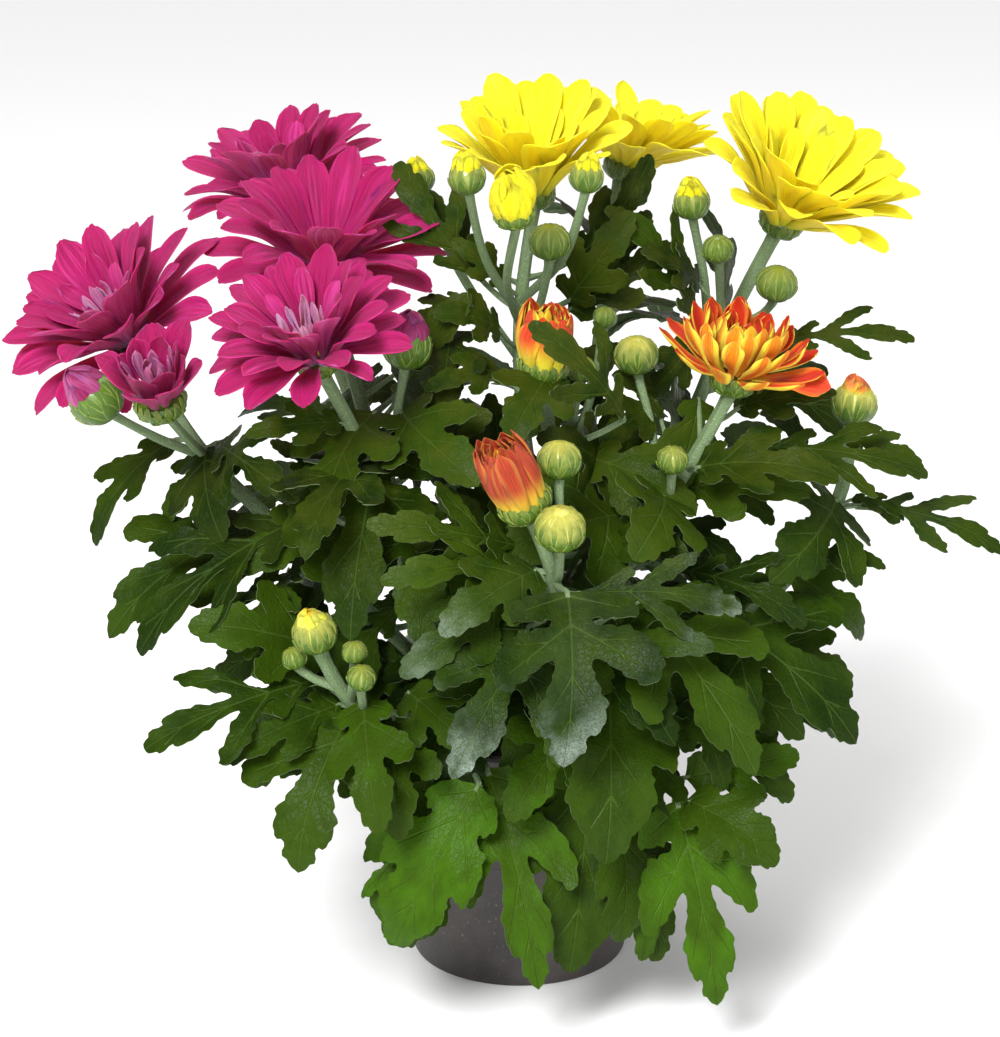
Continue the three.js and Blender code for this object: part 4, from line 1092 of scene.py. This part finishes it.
def add_leaf(piece, kind, node_point, base, tip, width, rng):
    """A leaf with its stalk, the rib under its middle and the ribs of its large lobes."""
    base, tip = np.array(base, float), np.array(tip, float)
    template = TEMPLATES[kind]
    away = (base + tip) / 2 - MIDDLE
    lean = FRONT_LEAN if base[1] < FRONT_SIDE else 0
    outward = unit([away[0], away[1], 0]) + [0, -lean, 1]
    surface, length, normal = leaf_surface(template, base, tip, width, outward, rng)
    along, across = template["along"], template["across"]
    points = surface(along, across)
    # The blade swells between its veins and sinks along them.
    far = template["far"] * length
    lift = 0.24 * (1 - np.exp(-((far / 3.2) ** 2))) - 0.12 * np.exp(-((far / 1.0) ** 2))
    points = points + point_normals(points, template["faces"]) * lift[:, None]
    thickness = np.full(len(points), LEAF_THICKNESS)
    thickness[template["rim"]] = LEAF_RIM_THICKNESS
    seed = rng.uniform()
    place = np.stack([along, np.abs(across), np.full(len(along), seed)], 1)
    tone, down_and_glare = leaf_look(base)
    tone = np.clip(tone + rng.uniform(-0.26, 0.24), 0, 1)
    # Silver toward the tip: partly down, partly a painted sheen of glare.
    down_and_glare_mask = down_and_glare * (0.03 + 0.97 * smoothstep(along + 0.4 * np.abs(across), 0.66, 1.02))
    look = np.stack([np.full(len(along), tone), down_and_glare_mask, template["away"]], 1)
    look = np.vstack([look, look])
    add_sheet(piece, points, template["faces"], template["rim"], thickness, place, look, (UPPER, UNDER, RIM))
    thick = 0.35 + 0.011 * length
    stalk_end = surface(np.array([0.04]), np.array([0.0]))[0] - normal * 0.4
    gap = np.linalg.norm(base - node_point)
    knee = node_point + unit(base - node_point) * gap / 2 + [0, 0, -0.06 * gap]
    path = smooth_path([node_point, knee, base - normal * 0.4, stalk_end], 10)
    steps = np.linspace(0, 1, len(path))
    widths = thick * (1.25 - 0.35 * steps + 0.6 * (1 - smoothstep(steps, 0, 0.2)))
    add_tube(piece, path, widths, sides=10, ribs=0.05, seed=seed, tone=0.35, finish=STEM)

    def add_rib(along, across, radii, depth, sides):
        """A thin tube that runs under the blade."""
        path = surface(along, across) - normal * (radii[:, None] + depth)
        add_tube(piece, path, radii, sides=sides, seed=seed, tone=0.6, finish=STEM)

    middle = np.linspace(0.0, 0.93, 12)
    add_rib(middle, np.zeros(12), thick * (1 - 0.8 * middle), 0.3, 7)
    t = np.linspace(0.02, 0.86, 6)
    for start, end, half in template["veins"][1:]:
        if half < LOBE_RIB:
            continue
        radii = 0.62 * thick * (1 - 0.7 * t) * (1 - 0.4 * start[0])
        for mirror in (1, -1):
            run_across = mirror * (start[1] + t * (end[1] - start[1]))
            add_rib(start[0] + t * (end[0] - start[0]), run_across, radii, 0.25, 5)


def leaf_node(shoots, base):
    """Where a leaf leaves the shoots: the nearest point on one of them, a little lower down."""
    distances = [np.linalg.norm(line - base, axis=1) for line in shoots]
    closest = min(range(len(shoots)), key=lambda number: distances[number].min())
    line = shoots[closest]
    nearest = int(distances[closest].argmin())
    step = np.linalg.norm(line[1] - line[0])
    return line[max(nearest - round(0.45 * distances[closest][nearest] / step), 0)]


def leaf_kind(length, width):
    """Which of the leaf forms stands for a leaf of this length, and this width against it."""
    if length < SMALL_LEAF:
        return "simple"
    return "broad" if width > CUT_WIDTH else "cut"


def leaf_look(base):
    """A leaf's tone and its silvering by its place: bright low in front, and silvery on the young front
    shoot, partly down and partly a painted sheen of glare.
    """
    bright = smoothstep(-base[1], 20, 70) * smoothstep(-base[2], -118, -70)
    away = np.linalg.norm(np.subtract(base, YOUNG_SHOOT)) / YOUNG_REACH
    young = min(1.7 * math.exp(-(away**2)), 1)
    return 0.34 + 0.45 * bright, 0.008 + 0.85 * young


# ---------------------------------------------------------------- heads


def stand_on(point, axis):
    """A function that stands local points on a point, with their +Z along an axis."""
    turn = np.array(Vector((0, 0, 1)).rotation_difference(Vector(axis)).to_matrix())

    def stand(points):
        return points @ turn.T + point

    return stand


def head_of(row):
    """A row of a plant's heads with its values named, its seat found and its stem led up to it."""
    kind, name, face, toward, size, radius, route = row
    axis = unit(toward)
    seat = np.array(face, float) - axis * (FACE_HEIGHT[kind] * size)
    points = [*map(np.array, route), seat, seat + axis * STEM_END]
    return {"kind": kind, "name": name, "axis": axis, "seat": seat, "size": size, "radius": radius,
            "points": points, "stand": stand_on(seat, axis)}


def petal_widths(along, foot, shoulder, blunt):
    """How wide a petal is along its length: a narrow foot, its widest place and a rounded end."""
    keys = [0, 0.14, 0.4, shoulder, shoulder + 0.25]
    values = [foot, foot * 1.08, 0.5 + 0.5 * foot, 1, 1]
    line = spline(np.stack([keys, values], 1), 12)
    over = np.clip((along - shoulder) / (PETAL_END - shoulder), 0, 1)
    return np.interp(along, line[:, 0], line[:, 1]) * (1 - over**blunt) ** (1 / blunt)


def petal_line(start, steps):
    """Where a petal's middle line is after each of its steps."""
    return start + np.concatenate([[0], np.cumsum(steps)])


def add_petal(piece, stand, rng, turn, length, width, rise, radius, height, arch=10, curl=0, cup=0.9,
              quill=1.9, foot=0.34, shoulder=0.7, blunt=2.4, tip=0.08, notch=0.02, ridge=0.16, roll=0,
              thickness=0.42, tone=0.0, finishes=(0, 1, 0), rows=13, columns=9, jitter=1.0):
    """One petal. Its middle line starts at a radius and a height and climbs at an angle that changes
    along it by arch and curl. Its sides curl up by the cup, most at the foot, where the quill is how
    far. Foot, shoulder and blunt shape its outline, tip and notch its end, and a ridge runs along it."""
    steps = np.linspace(0, 1, rows + 1)
    along = steps[:, None]
    across = np.linspace(-1, 1, columns)
    climb = rise + jitter * rng.normal(0, 3.0)
    angle = np.radians(climb + arch * (1 - 2 * steps) - curl * np.clip(steps - 0.6, 0, 1) / 0.4)
    length = length * (1 + jitter * rng.normal(0, 0.045))
    between = (angle[1:] + angle[:-1]) / 2
    reach = petal_line(radius, np.cos(between) * (length / rows))
    level = petal_line(height, np.sin(between) * (length / rows))
    tooth_depth = rng.uniform(0.6, 1.4) * notch
    tooth_count = rng.choice([2.0, 3.0])
    teeth = tooth_depth * np.cos(math.pi * across * tooth_count + rng.uniform(-0.5, 0.5))
    cut = (tip * across**2 - teeth) * along**5
    place_along = np.clip(along * (1 - cut), 0, 1.03)
    half = width / 2 * petal_widths(steps, foot, shoulder, blunt) * (1 + jitter * rng.normal(0, 0.05))
    half = half[:, None]
    bend_in = cup * (0.55 + (quill - 0.55) * (1 - smoothstep(along, 0, 0.4))) * rng.uniform(0.75, 1.25)
    bend_in = np.maximum(bend_in, 0.05)
    x = half * np.sin(bend_in * across) / bend_in
    z = half * (1 - np.cos(bend_in * across)) / bend_in
    fold = ridge * np.cos(FULL_TURN * across + rng.uniform(-0.4, 0.4))
    z = z + fold * smoothstep(along, 0.05, 0.4) * smoothstep(along, 1.05, 0.7)
    wobble = rng.normal(0, 0.012, 2) * jitter
    z = z + length * (wobble[0] * np.sin(FULL_TURN * (along * 1.3 + rng.uniform()))
                      + wobble[1] * across * np.sin(FULL_TURN * along))
    roll = np.radians(roll + jitter * rng.normal(0, 9)) * along
    x, z = x * np.cos(roll) - z * np.sin(roll), x * np.sin(roll) + z * np.cos(roll)
    x = x + jitter * rng.normal(0, 0.03) * length * along**2
    at_angle = np.interp(place_along, steps, angle)
    outward = np.interp(place_along, steps, reach) - np.sin(at_angle) * z
    upward = np.interp(place_along, steps, level) + np.cos(at_angle) * z
    cos, sin = math.cos(turn), math.sin(turn)
    points = np.stack([outward * cos + x * sin, outward * sin - x * cos, upward], -1).reshape(-1, 3)
    seed = rng.uniform()
    tone = np.clip(tone + rng.uniform(-0.3, 0.3), 0, 1)
    depths = (thickness, 0.6 * thickness, 1.3 * thickness)
    add_blade(piece, stand(points), steps, across, depths, seed, tone, finishes)


def add_ring(piece, stand, rng, count, length, width, rise, radius, height, phase=0.0, steeper=(0, 0),
             droop=0, curl=0, **form):
    """A ring of petals. Those to +X and to +Y stand steeper by so many degrees, and those to -X and -Y
    as much flatter. The ones to -Y curl down more at their tips by the droop."""
    for number in range(count):
        turn = (number + phase + form.get("jitter", 1) * rng.normal(0, 0.1)) / count * FULL_TURN
        climb = rise + steeper[0] * math.cos(turn) + steeper[1] * math.sin(turn)
        tip_curl = curl + droop * max(0, -math.sin(turn))
        add_petal(piece, stand, rng, turn, length, width, climb, radius, height, curl=tip_curl, **form)


def add_scales(piece, stand, rng, rows, radius, centre, squash):
    """Overlapping scales on a ball: each is a strip up a meridian that narrows to a soft point."""
    steps = np.linspace(0, 1, 8)
    along = steps[:, None]
    across = np.linspace(-1, 1, 5)
    taper = np.interp(along, [0, 0.3, 0.62, 0.86, 1], [0.75, 1, 0.9, 0.55, 0.16])
    depths = (SCALE_THICKNESS, SCALE_RIM_THICKNESS, SCALE_RIM_THICKNESS)
    for count, low, high, half_width, off, tone in rows:
        for number in range(count):
            middle = math.radians((number + rng.uniform(-0.12, 0.12) + (off > 0.4) * 0.5) / count * 360)
            top = high + rng.uniform(-5, 5)
            latitude = np.radians(low + (top - low) * along) + 0 * across
            spread = math.radians(half_width) * taper / np.maximum(np.cos(latitude), 0.32) * 0.86
            longitude = middle + spread * across
            stand_off = off * (0.35 + 0.65 * along) * (1 - 0.28 * across**2)
            r = radius + stand_off + 0.05 * radius * np.clip(along - 0.85, 0, 1)
            points = np.stack([
                r * np.cos(latitude) * np.cos(longitude),
                r * np.cos(latitude) * np.sin(longitude),
                centre + r * np.sin(latitude) * squash,
            ], -1).reshape(-1, 3)
            add_blade(piece, stand(points), steps, across, depths, rng.uniform(), tone, [BRACT] * 3)


def ball_profile(radius, centre, squash, low=-88, high=88, steps=14):
    """A profile for add_turned: a squashed ball between two latitudes in degrees."""
    latitudes = np.radians(np.linspace(low, high, steps))
    profile = [[radius * math.cos(a), centre + radius * squash * math.sin(a)] for a in latitudes]
    return [[0, profile[0][1]], *profile, [0, profile[-1][1]]]


def add_bud(piece, head, form, rng):
    """A bud's ball of scales. A closed one's scales meet at the top."""
    size = head["size"]
    radius = size * 0.93
    centre = size * 0.98
    closed = head["name"] == ""
    opened = 0 if closed else form["opened"]
    squash = 0.88 if closed else 0.97
    ripe = np.clip(0.3 * size - 0.95, 0.3, 1.1) if closed else 1
    cream = form["cream"] * ripe
    profile = ball_profile(radius, centre, squash, high=86 if closed else 40)
    add_turned(piece, profile, 28, head["stand"], (0.9, 0.2, rng.uniform()), cream, BRACT)
    fewer, wider = (0, 1) if size > 5.5 else (3, 1.2)
    rows = [
        (count - fewer, low, high - opened * max(high, 0), half * wider, off * (size / 7), tone * cream)
        for count, low, high, half, off, tone in BUD_SCALES
    ]
    add_scales(piece, head["stand"], rng, rows, radius, centre, squash)


def add_cup(piece, head, rng):
    """The green cup of scales under a flower."""
    radius = CUP_RADIUS * (0.98 if head["kind"] == "bloom" else 1.02 * head["size"])
    centre = CUP_HEIGHT + 0.4
    profile = ball_profile(radius - 0.3, centre, CUP_SQUASH, high=24)
    add_turned(piece, profile, 28, head["stand"], (0.5, 0.2, rng.uniform()), 0.4, BRACT)
    add_scales(piece, head["stand"], rng, CUP_SCALES, radius, centre, CUP_SQUASH)


def add_bud_tip(piece, head, form, rng):
    """The folded petals that stand out of the top of a bud: two rings that close over a small heart."""
    size, finish, wide, tall = head["size"], form["finish"], form["wide"], form["tall"]
    heart = ball_profile(0.66 * size * wide, 1.25 * size, 1.45 * tall / wide, low=-30, high=84, steps=9)
    add_turned(piece, heart, 20, head["stand"], (0.7, 0.3, rng.uniform()), 0.5, finish)
    for count, length, width, rise, radius, height in BUD_RINGS:
        measures = (length * size * tall, width * size * wide, rise, radius * size * wide, height * size)
        add_ring(piece, head["stand"], rng, count, *measures, phase=rng.uniform(), finishes=[finish] * 3,
                 **BUD_PETALS)


def add_disc(piece, head, rng):
    """The disc of a full bloom: florets packed in a spiral on a low dome."""
    dome = [(0, 0), (1, 0), (0.96, 0.6), (0.7, 1.2), (0.35, 1.5), (0, 1.6)]
    dome = [[DISC_RADIUS * wide, DISC_FOOT + up] for wide, up in dome]
    add_turned(piece, dome, 24, head["stand"], (0, 0, 0.5))
    around = round_angles(6)
    # Each ring of a floret: how far up it is, how wide and its place for the look.
    tube = [(0, 0.75, 0), (0.55, 0.85, 0.4), (0.85, 1.15, 0.8), (1.0, 0.9, 1), (0.9, 0.35, 0.7)]
    for number in range(FLORETS):
        share = (number + 0.5) / FLORETS
        turn = number * GOLDEN_ANGLE
        height = 1.6 + rng.uniform(-0.15, 0.25) + 0.35 * share
        lean = 0.5 * share
        girth = 0.34 + 0.1 * share
        base = [DISC_RADIUS * 0.97 * math.sqrt(share), 0, DISC_FOOT + 0.9 - 0.8 * share]
        cos, sin = math.cos(turn), math.sin(turn)
        spin = np.array([[cos, sin, 0], [-sin, cos, 0], [0, 0, 1]])
        rings = np.array([
            np.stack([
                girth * wide * np.cos(around) + lean * up * height,
                girth * wide * np.sin(around),
                np.full(len(around), up * height),
            ], 1) for up, wide, _ in tube
        ])
        ends = np.array([[0, 0, 0], [lean * 0.8 * height, 0, 0.8 * height]])
        marks = np.repeat([mark for *_, mark in tube], len(around))
        marks = np.concatenate([marks, [0, 0.5]]) * (0.25 + 0.75 * share)
        seed = rng.uniform()
        place = np.stack([marks, np.full(len(marks), share), np.full(len(marks), seed)], 1)
        add_loft(piece, (rings + base) @ spin, (ends + base) @ spin, place, stand=head["stand"])


def add_rings(piece, head, rng, rings, scaled_keys, size, lift=0, **form):
    """The rings of a flower, each turned on from the one below it."""
    for level, (*values, more) in enumerate(rings):
        ring = {"phase": level * RING_PHASE, **dict(zip(RING_VALUES, values)), **more}
        ring["rise"] += lift
        for key in scaled_keys:
            ring[key] *= size
        add_ring(piece, head["stand"], rng, **ring, **form)


# ---------------------------------------------------------------- plants


def add_stem(piece, points, radius, rng):
    """A stem that swells and flares a little toward the head on it."""
    length = np.linalg.norm(np.diff(np.array(points), axis=0), axis=1).sum()
    count = max(int(length / 4), 6)
    path = smooth_path(points, count)
    steps = np.linspace(0, 1, count + 1)
    swell = 1 + 0.05 * np.sin(steps * length / 9 + rng.uniform(0, 6)) + 0.12 * (1 - steps)
    flare = 1 + 0.35 * smoothstep(steps, 1 - 7 / length, 1)
    add_tube(piece, path, radius * swell * flare, ribs=0.07, seed=rng.uniform(), finish=STEM)


def add_head(green, colour, head, rng):
    """A head on its stem. Its petals, disc or coloured tip are pieces of their own."""
    add_stem(green, head["points"], head["radius"], rng)
    title = f"{colour}_{head['name']}"
    petals = Piece()
    if head["kind"] == "bud":
        form = BUD_FORMS.get(title, BUD_FORMS[colour])
        add_bud(green, head, form, rng)
        if head["name"]:
            add_bud_tip(petals, head, form, rng)
            petals.build(f"folded_petals_{title}", PETALS[colour], [f"bud_tip_{title}"])
        return
    add_cup(green, head, rng)
    bloom = head["kind"] == "bloom"
    if bloom:
        form = dict(BLOOM_FORMS[title])
        rings = BLOOM_RINGS[colour][:form.pop("rings")]
        add_rings(petals, head, rng, rings, ("length", "width"), **form)
    else:
        size = head["size"] / OPENING_SIZE
        add_rings(petals, head, rng, OPENING_RINGS[title], ("length", "width", "radius", "height"), size)
    petals.build(f"petals_{title}", PETALS[colour], [f"{head['kind']}_{title}"])
    if bloom:
        disc = Piece()
        add_disc(disc, head, rng)
        disc.build(f"florets_{title}", [DISC], [f"disc_{title}"])


def seen_at(point):
    """Where a point is seen from the front, as [x, z] in the upright plane through the pot's middle."""
    eye = np.array(EYE)
    return (eye + (point - eye) * (eye[1] / (eye[1] - point[1])))[[0, 2]]


def meets_head(samples, heads):
    """Whether a leaf touches a flower or bud, or hides it from the front."""
    for head in heads:
        wide = HEAD_REACH[head["kind"]]
        face = head["seat"] + head["axis"] * 8
        seen = seen_at(face)
        for point in samples:
            if np.linalg.norm(point - face) < wide:
                return True
            if point[1] < face[1] and np.linalg.norm(seen_at(point) - seen) < wide * 0.9:
                return True
    return False


def more_leaves(plants, rng):
    """Leaves for the rest of each shoot, turned by the golden angle from one to the next. One that
    would crowd another leaf, touch a flower, hide one from the front or reach out of the plant's front
    outline is left out."""
    middles = [(np.array(row[0]) + row[1]) / 2 for plant in plants.values() for row in plant["leaves"]]
    heads = [head for plant in plants.values() for head in plant["heads"]]
    outline = np.array(FRONT_OUTLINE, float)
    added = {colour: [] for colour in plants}
    for colour, plant in plants.items():
        for shoot in plant["shoots"]:
            turn = rng.uniform(0, FULL_TURN)
            for number in range(FIRST_LEAF, len(shoot) - BARE_TOP, LEAF_STEPS):
                turn += GOLDEN_ANGLE
                node_point = shoot[number]
                out = polar(1, turn)
                length = rng.uniform(*MORE_LENGTH)
                drop = math.radians(rng.uniform(5, 30) + 30 * smoothstep(-node_point[2], -150, -80))
                base = node_point + out * rng.uniform(*MORE_OUT) + [0, 0, rng.uniform(*MORE_UP)]
                tip = base + length * (out * math.cos(drop) - [0, 0, math.sin(drop)])
                samples = [base + (tip - base) * t for t in (0.2, 0.45, 0.7, 1.0)]
                middle = samples[1]
                crowded = min(np.linalg.norm(middle - other) for other in middles) < CROWDED
                at_pot = np.hypot(*middle[:2]) < POT_REACH and middle[2] < POT_CLEAR
                low = tip[2] < LOWEST_TIP or at_pot
                if crowded or low or meets_head(samples, heads):
                    continue
                if not inside(outline, np.array([seen_at(point) for point in samples])).all():
                    continue
                middles.append(middle)
                added[colour].append((node_point, base, tip, rng.uniform(*MORE_WIDTH)))
    return added


def grown(plant):
    """A plant with its heads placed and its shoots as even lines."""
    heads = [head_of(row) for row in plant["heads"]]
    leading = [head["points"] for head in heads if head["radius"] == SHOOT_RADIUS]
    shoots = [smooth_path(points, SHOOT_STEPS) for points in leading + plant["bare"]]
    return {**plant, "heads": heads, "shoots": shoots, "leaves": plant["leaves"] + plant["infill"]}


def add_plants():
    """The three plants. Root, stems, cups and green buds are one piece in each, and leaves another."""
    plants = {colour: grown(plant) for colour, plant in PLANTS.items()}
    more = more_leaves(plants, np.random.default_rng(MORE_LEAVES_SEED))
    for order, (colour, plant) in enumerate(plants.items()):
        rng = np.random.default_rng(PLANT_SEED + order)
        green = Piece()
        leaves = Piece()
        foot = [[*plant["root"], z] for z in np.linspace(ROOT_BOTTOM, ROOT_TOP, 9)]
        add_tube(green, np.array(foot), ROOT_RADIUS, sides=24, ribs=0.05, finish=STEM)
        for points in plant["bare"]:
            add_stem(green, points, SHOOT_RADIUS, rng)
        rows = [(leaf_node(plant["shoots"], row[0]), *row) for row in plant["leaves"]]
        for start, base, tip, width, *named in rows + more[colour]:
            kind = named[0] if named else leaf_kind(np.linalg.norm(np.subtract(tip, base)), width)
            add_leaf(leaves, kind, start, base, tip, width, rng)
        for number, head in enumerate(plant["heads"]):
            add_head(green, colour, head, np.random.default_rng(HEAD_SEED + 100 * order + number))
        green.build(f"stems_{colour}", LEAF, [f"plant_{colour}"])
        leaves.build(f"leaves_{colour}", LEAF, [f"plant_{colour}"])


# ---------------------------------------------------------------- pot and soil


def pot_radius(height):
    """The pot's outside radius at a height, below the collar."""
    return POT_BASE_RADIUS + (POT_RIM_RADIUS - COLLAR_STEP - POT_BASE_RADIUS) * height / POT_HEIGHT


def add_pot():
    """The pot, turned from its profile, with its drain holes cut out of the floor."""
    collar = pot_radius(COLLAR_FOOT)
    outside = [
        [0, 1.0], [24, 1.0], [25, 0], [31.8, 0], [32.7, 0.3], [33.1, 1.2], [pot_radius(20), 20],
        [pot_radius(45), 45], [collar - 0.1, COLLAR_FOOT - 0.6],
        [collar + COLLAR_STEP - 0.5, COLLAR_FOOT - 0.2], [collar + COLLAR_STEP, COLLAR_FOOT + 0.6],
    ]
    # The rim, as how far inward of the rim's radius and how far below the top.
    rim = [(0.5, 2.2), (0, 1.6), (0, 0.5), (0.5, 0), (1.0, 0), (POT_WALL + 0.1, 0.5)]
    rim = [[POT_RIM_RADIUS - inward, POT_HEIGHT - below] for inward, below in rim]
    inner = [
        [collar - POT_WALL + 0.3, COLLAR_FOOT + 0.8], [collar - POT_WALL, COLLAR_FOOT - 0.6],
        *[[pot_radius(height) - POT_WALL, height] for height in (45, 20, 3)],
        [pot_radius(POT_FLOOR) - POT_WALL - 1.5, POT_FLOOR], [0, POT_FLOOR],
    ]
    piece = Piece()
    add_turned(piece, outside + rim + inner, 96)
    pot = piece.build("nursery_pot", [pot_plastic()], ["pot"])
    cutters = Piece()
    for hole in range(DRAIN_COUNT):
        centre = polar(DRAIN_CIRCLE, (hole + 0.5) / DRAIN_COUNT * FULL_TURN)
        cylinder = [[0, -3], [DRAIN_RADIUS, -3], [DRAIN_RADIUS, 3], [0, 3]]
        add_turned(cutters, cylinder, 24, stand_on(centre, (0, 0, 1)))
    cutter = add_object("drain_cutters", cutters.mesh("drain_cutters"))
    cut = pot.modifiers.new("drains", "BOOLEAN")
    cut.operation = "DIFFERENCE"
    cut.object = cutter
    cut.solver = "EXACT"
    bpy.context.view_layer.update()
    shape = bpy.data.meshes.new_from_object(pot.evaluated_get(bpy.context.evaluated_depsgraph_get()))
    pot.modifiers.clear()
    pot.data = shape
    bpy.data.objects.remove(cutter)
    shape.shade_smooth()
    shape.set_sharp_from_angle(angle=POT_SHARP_EDGE)


def soil_radius(height):
    """The soil's radius at a height, a little clear of the pot's wall."""
    return pot_radius(height) - POT_WALL - 2 * GAP


def soil_level(share):
    """The soil's height at a share of its radius: a low mound that falls off at the wall."""
    rim_drop = 2 * smoothstep(share, 0.72, 1.0)
    return SOIL_LEVEL - rim_drop + SOIL_MOUND * 0.75 * (1 - smoothstep(share, 0, 0.8))


def add_soil():
    """The soil: a body with a lumpy top, and crumbs and fibres on it."""
    rng = np.random.default_rng(SOIL_SEED)
    piece = Piece()
    turns = round_angles(90)
    foot = POT_FLOOR + GAP
    top_radius = soil_radius(COLLAR_FOOT)
    # Each ring is its radius, its height and how rough it is.
    levels = [(soil_radius(foot) - 1.5, foot, 0.0)]
    levels += [(soil_radius(height), height, 0.0) for height in (4, 30, COLLAR_FOOT)]
    levels += [(top_radius * share, soil_level(share), 1.0) for share in np.linspace(1, 0.06, 22)]
    waves = [
        (rng.uniform(0.1, 0.5), rng.uniform(0.1, 0.5), rng.uniform(0, 6), rng.uniform(0.15, 0.45))
        for _ in range(14)
    ]
    rings = []
    for radius, height, rough in levels:
        x, y = radius * np.cos(turns), radius * np.sin(turns)
        lump = sum(
            size * np.sin(fx * x * (1 if k % 2 else -1) + fy * y + phase)
            for k, (fx, fy, phase, size) in enumerate(waves)
        )
        rings.append(np.stack([x, y, height + rough * (0.55 * lump + rng.normal(0, 0.22, len(turns)))], 1))
    add_loft(piece, np.array(rings), [[0, 0, foot], [0, 0, rings[-1][:, 2].mean()]])
    add_crumbs(piece, rng)
    add_fibres(piece, rng, top_radius)
    fibre = plain_noise("soil_fibre", 600.0, (0.06, 0.035, 0.018), (0.20, 0.13, 0.07), 0.85)
    piece.build("peat", [soil_peat(), fibre], ["soil"])


def add_fibres(piece, rng, top_radius):
    """Thin bent fibres of peat that lie on the soil."""
    for _ in range(FIBRES):
        turn, reach = rng.uniform(0, FULL_TURN), top_radius * math.sqrt(rng.uniform(0, 0.9))
        start = polar(reach, turn, SOIL_LEVEL + 1.2)
        heading = rng.uniform(0, FULL_TURN)
        size = rng.uniform(4, 10)
        drift = polar(1, heading, rng.uniform(-0.05, 0.1))
        bend = np.array([-drift[1], drift[0], 0]) * rng.uniform(-0.3, 0.3)
        fibre = smooth_path([start, start + drift * size / 2 + bend * size / 2, start + drift * size], 8)
        if np.hypot(fibre[:, 0], fibre[:, 1]).max() < top_radius - 1:
            add_tube(piece, fibre, rng.uniform(0.15, 0.32), sides=5, finish=1)


def add_crumbs(piece, rng):
    """Small lumps of peat, each a rough ball of twenty faces half sunk in the surface."""
    golden = (1 + math.sqrt(5)) / 2
    ball = np.array([[-1, golden, 0], [1, golden, 0], [-1, -golden, 0], [1, -golden, 0],
                     [0, -1, golden], [0, 1, golden], [0, -1, -golden], [0, 1, -golden],
                     [golden, 0, -1], [golden, 0, 1], [-golden, 0, -1], [-golden, 0, 1]]) / golden
    faces = np.array([[0, 11, 5], [0, 5, 1], [0, 1, 7], [0, 7, 10], [0, 10, 11], [1, 5, 9], [5, 11, 4],
                      [11, 10, 2], [10, 7, 6], [7, 1, 8], [3, 9, 4], [3, 4, 2], [3, 2, 6], [3, 6, 8],
                      [3, 8, 9], [4, 9, 5], [2, 4, 11], [6, 2, 10], [8, 6, 7], [9, 8, 1]])
    for _ in range(CRUMBS):
        turn, share = rng.uniform(0, FULL_TURN), math.sqrt(rng.uniform(0, 1))
        size = rng.uniform(0.5, 1.9) * np.array([1, rng.uniform(0.7, 1.2), rng.uniform(0.5, 0.9)])
        lump = ball * size * rng.uniform(0.8, 1.2, (12, 1))
        spin = np.array(Euler(rng.uniform(0, 6, 3)).to_matrix())
        centre = polar(CRUMB_REACH * share, turn, soil_level(share) + 0.3)
        piece.add(lump @ spin.T + centre, [(faces, 0)], (0, 0, 0), (0.5, 0, 0))


# ---------------------------------------------------------------- stage


def facing(toward):
    """The turn that points a lamp the way given."""
    return Vector(toward).to_track_quat("-Z", "Y").to_euler()


def add_stage():
    """The pale floor and the soft studio light."""
    corners = [(x * FLOOR_HALF, y * FLOOR_HALF, 0) for x, y in ((-1, -1), (1, -1), (1, 1), (-1, 1))]
    mesh = bpy.data.meshes.new("floor")
    mesh.from_pydata(corners, [], [(0, 1, 2, 3)])
    mesh.materials.append(Material("pale_floor").shaded((0.93, 0.93, 0.93, 1), 0.9))
    add_object("floor", mesh)
    world = bpy.data.worlds.new("studio")
    world.use_nodes = True
    background = world.node_tree.nodes["Background"]
    background.inputs["Color"].default_value = (1, 1, 1, 1)
    background.inputs["Strength"].default_value = WORLD_LIGHT
    bpy.context.scene.world = world
    sun = bpy.data.lights.new("sun", "SUN")
    sun.energy = SUN["energy"]
    sun.angle = SUN["angle"]
    add_object("sun", sun).rotation_euler = facing(-Vector(SUN["from"]))
    for name, place, size, power in LAMPS:
        data = bpy.data.lights.new(name, "AREA")
        data.energy = power
        data.size = size
        lamp = add_object(name, data)
        lamp.location = place
        lamp.rotation_euler = facing(Vector(LAMP_TARGET) - Vector(place))


def add_camera():
    """The camera in front of the plant and above it, looking down on it."""
    data = bpy.data.cameras.new("camera")
    data.sensor_width = 36
    data.lens = LENS
    data.clip_start = 0.05
    data.clip_end = 50
    camera = add_object("camera", data)
    camera.location = [value * METRES for value in EYE]
    camera.rotation_euler = (math.radians(90 - LOOK_DOWN), 0, 0)
    bpy.context.scene.camera = camera
    bpy.context.scene.view_settings.view_transform = "Standard"


add_camera()
add_stage()
add_pot()
add_soil()
add_plants()

bpy.context.view_layer.update()
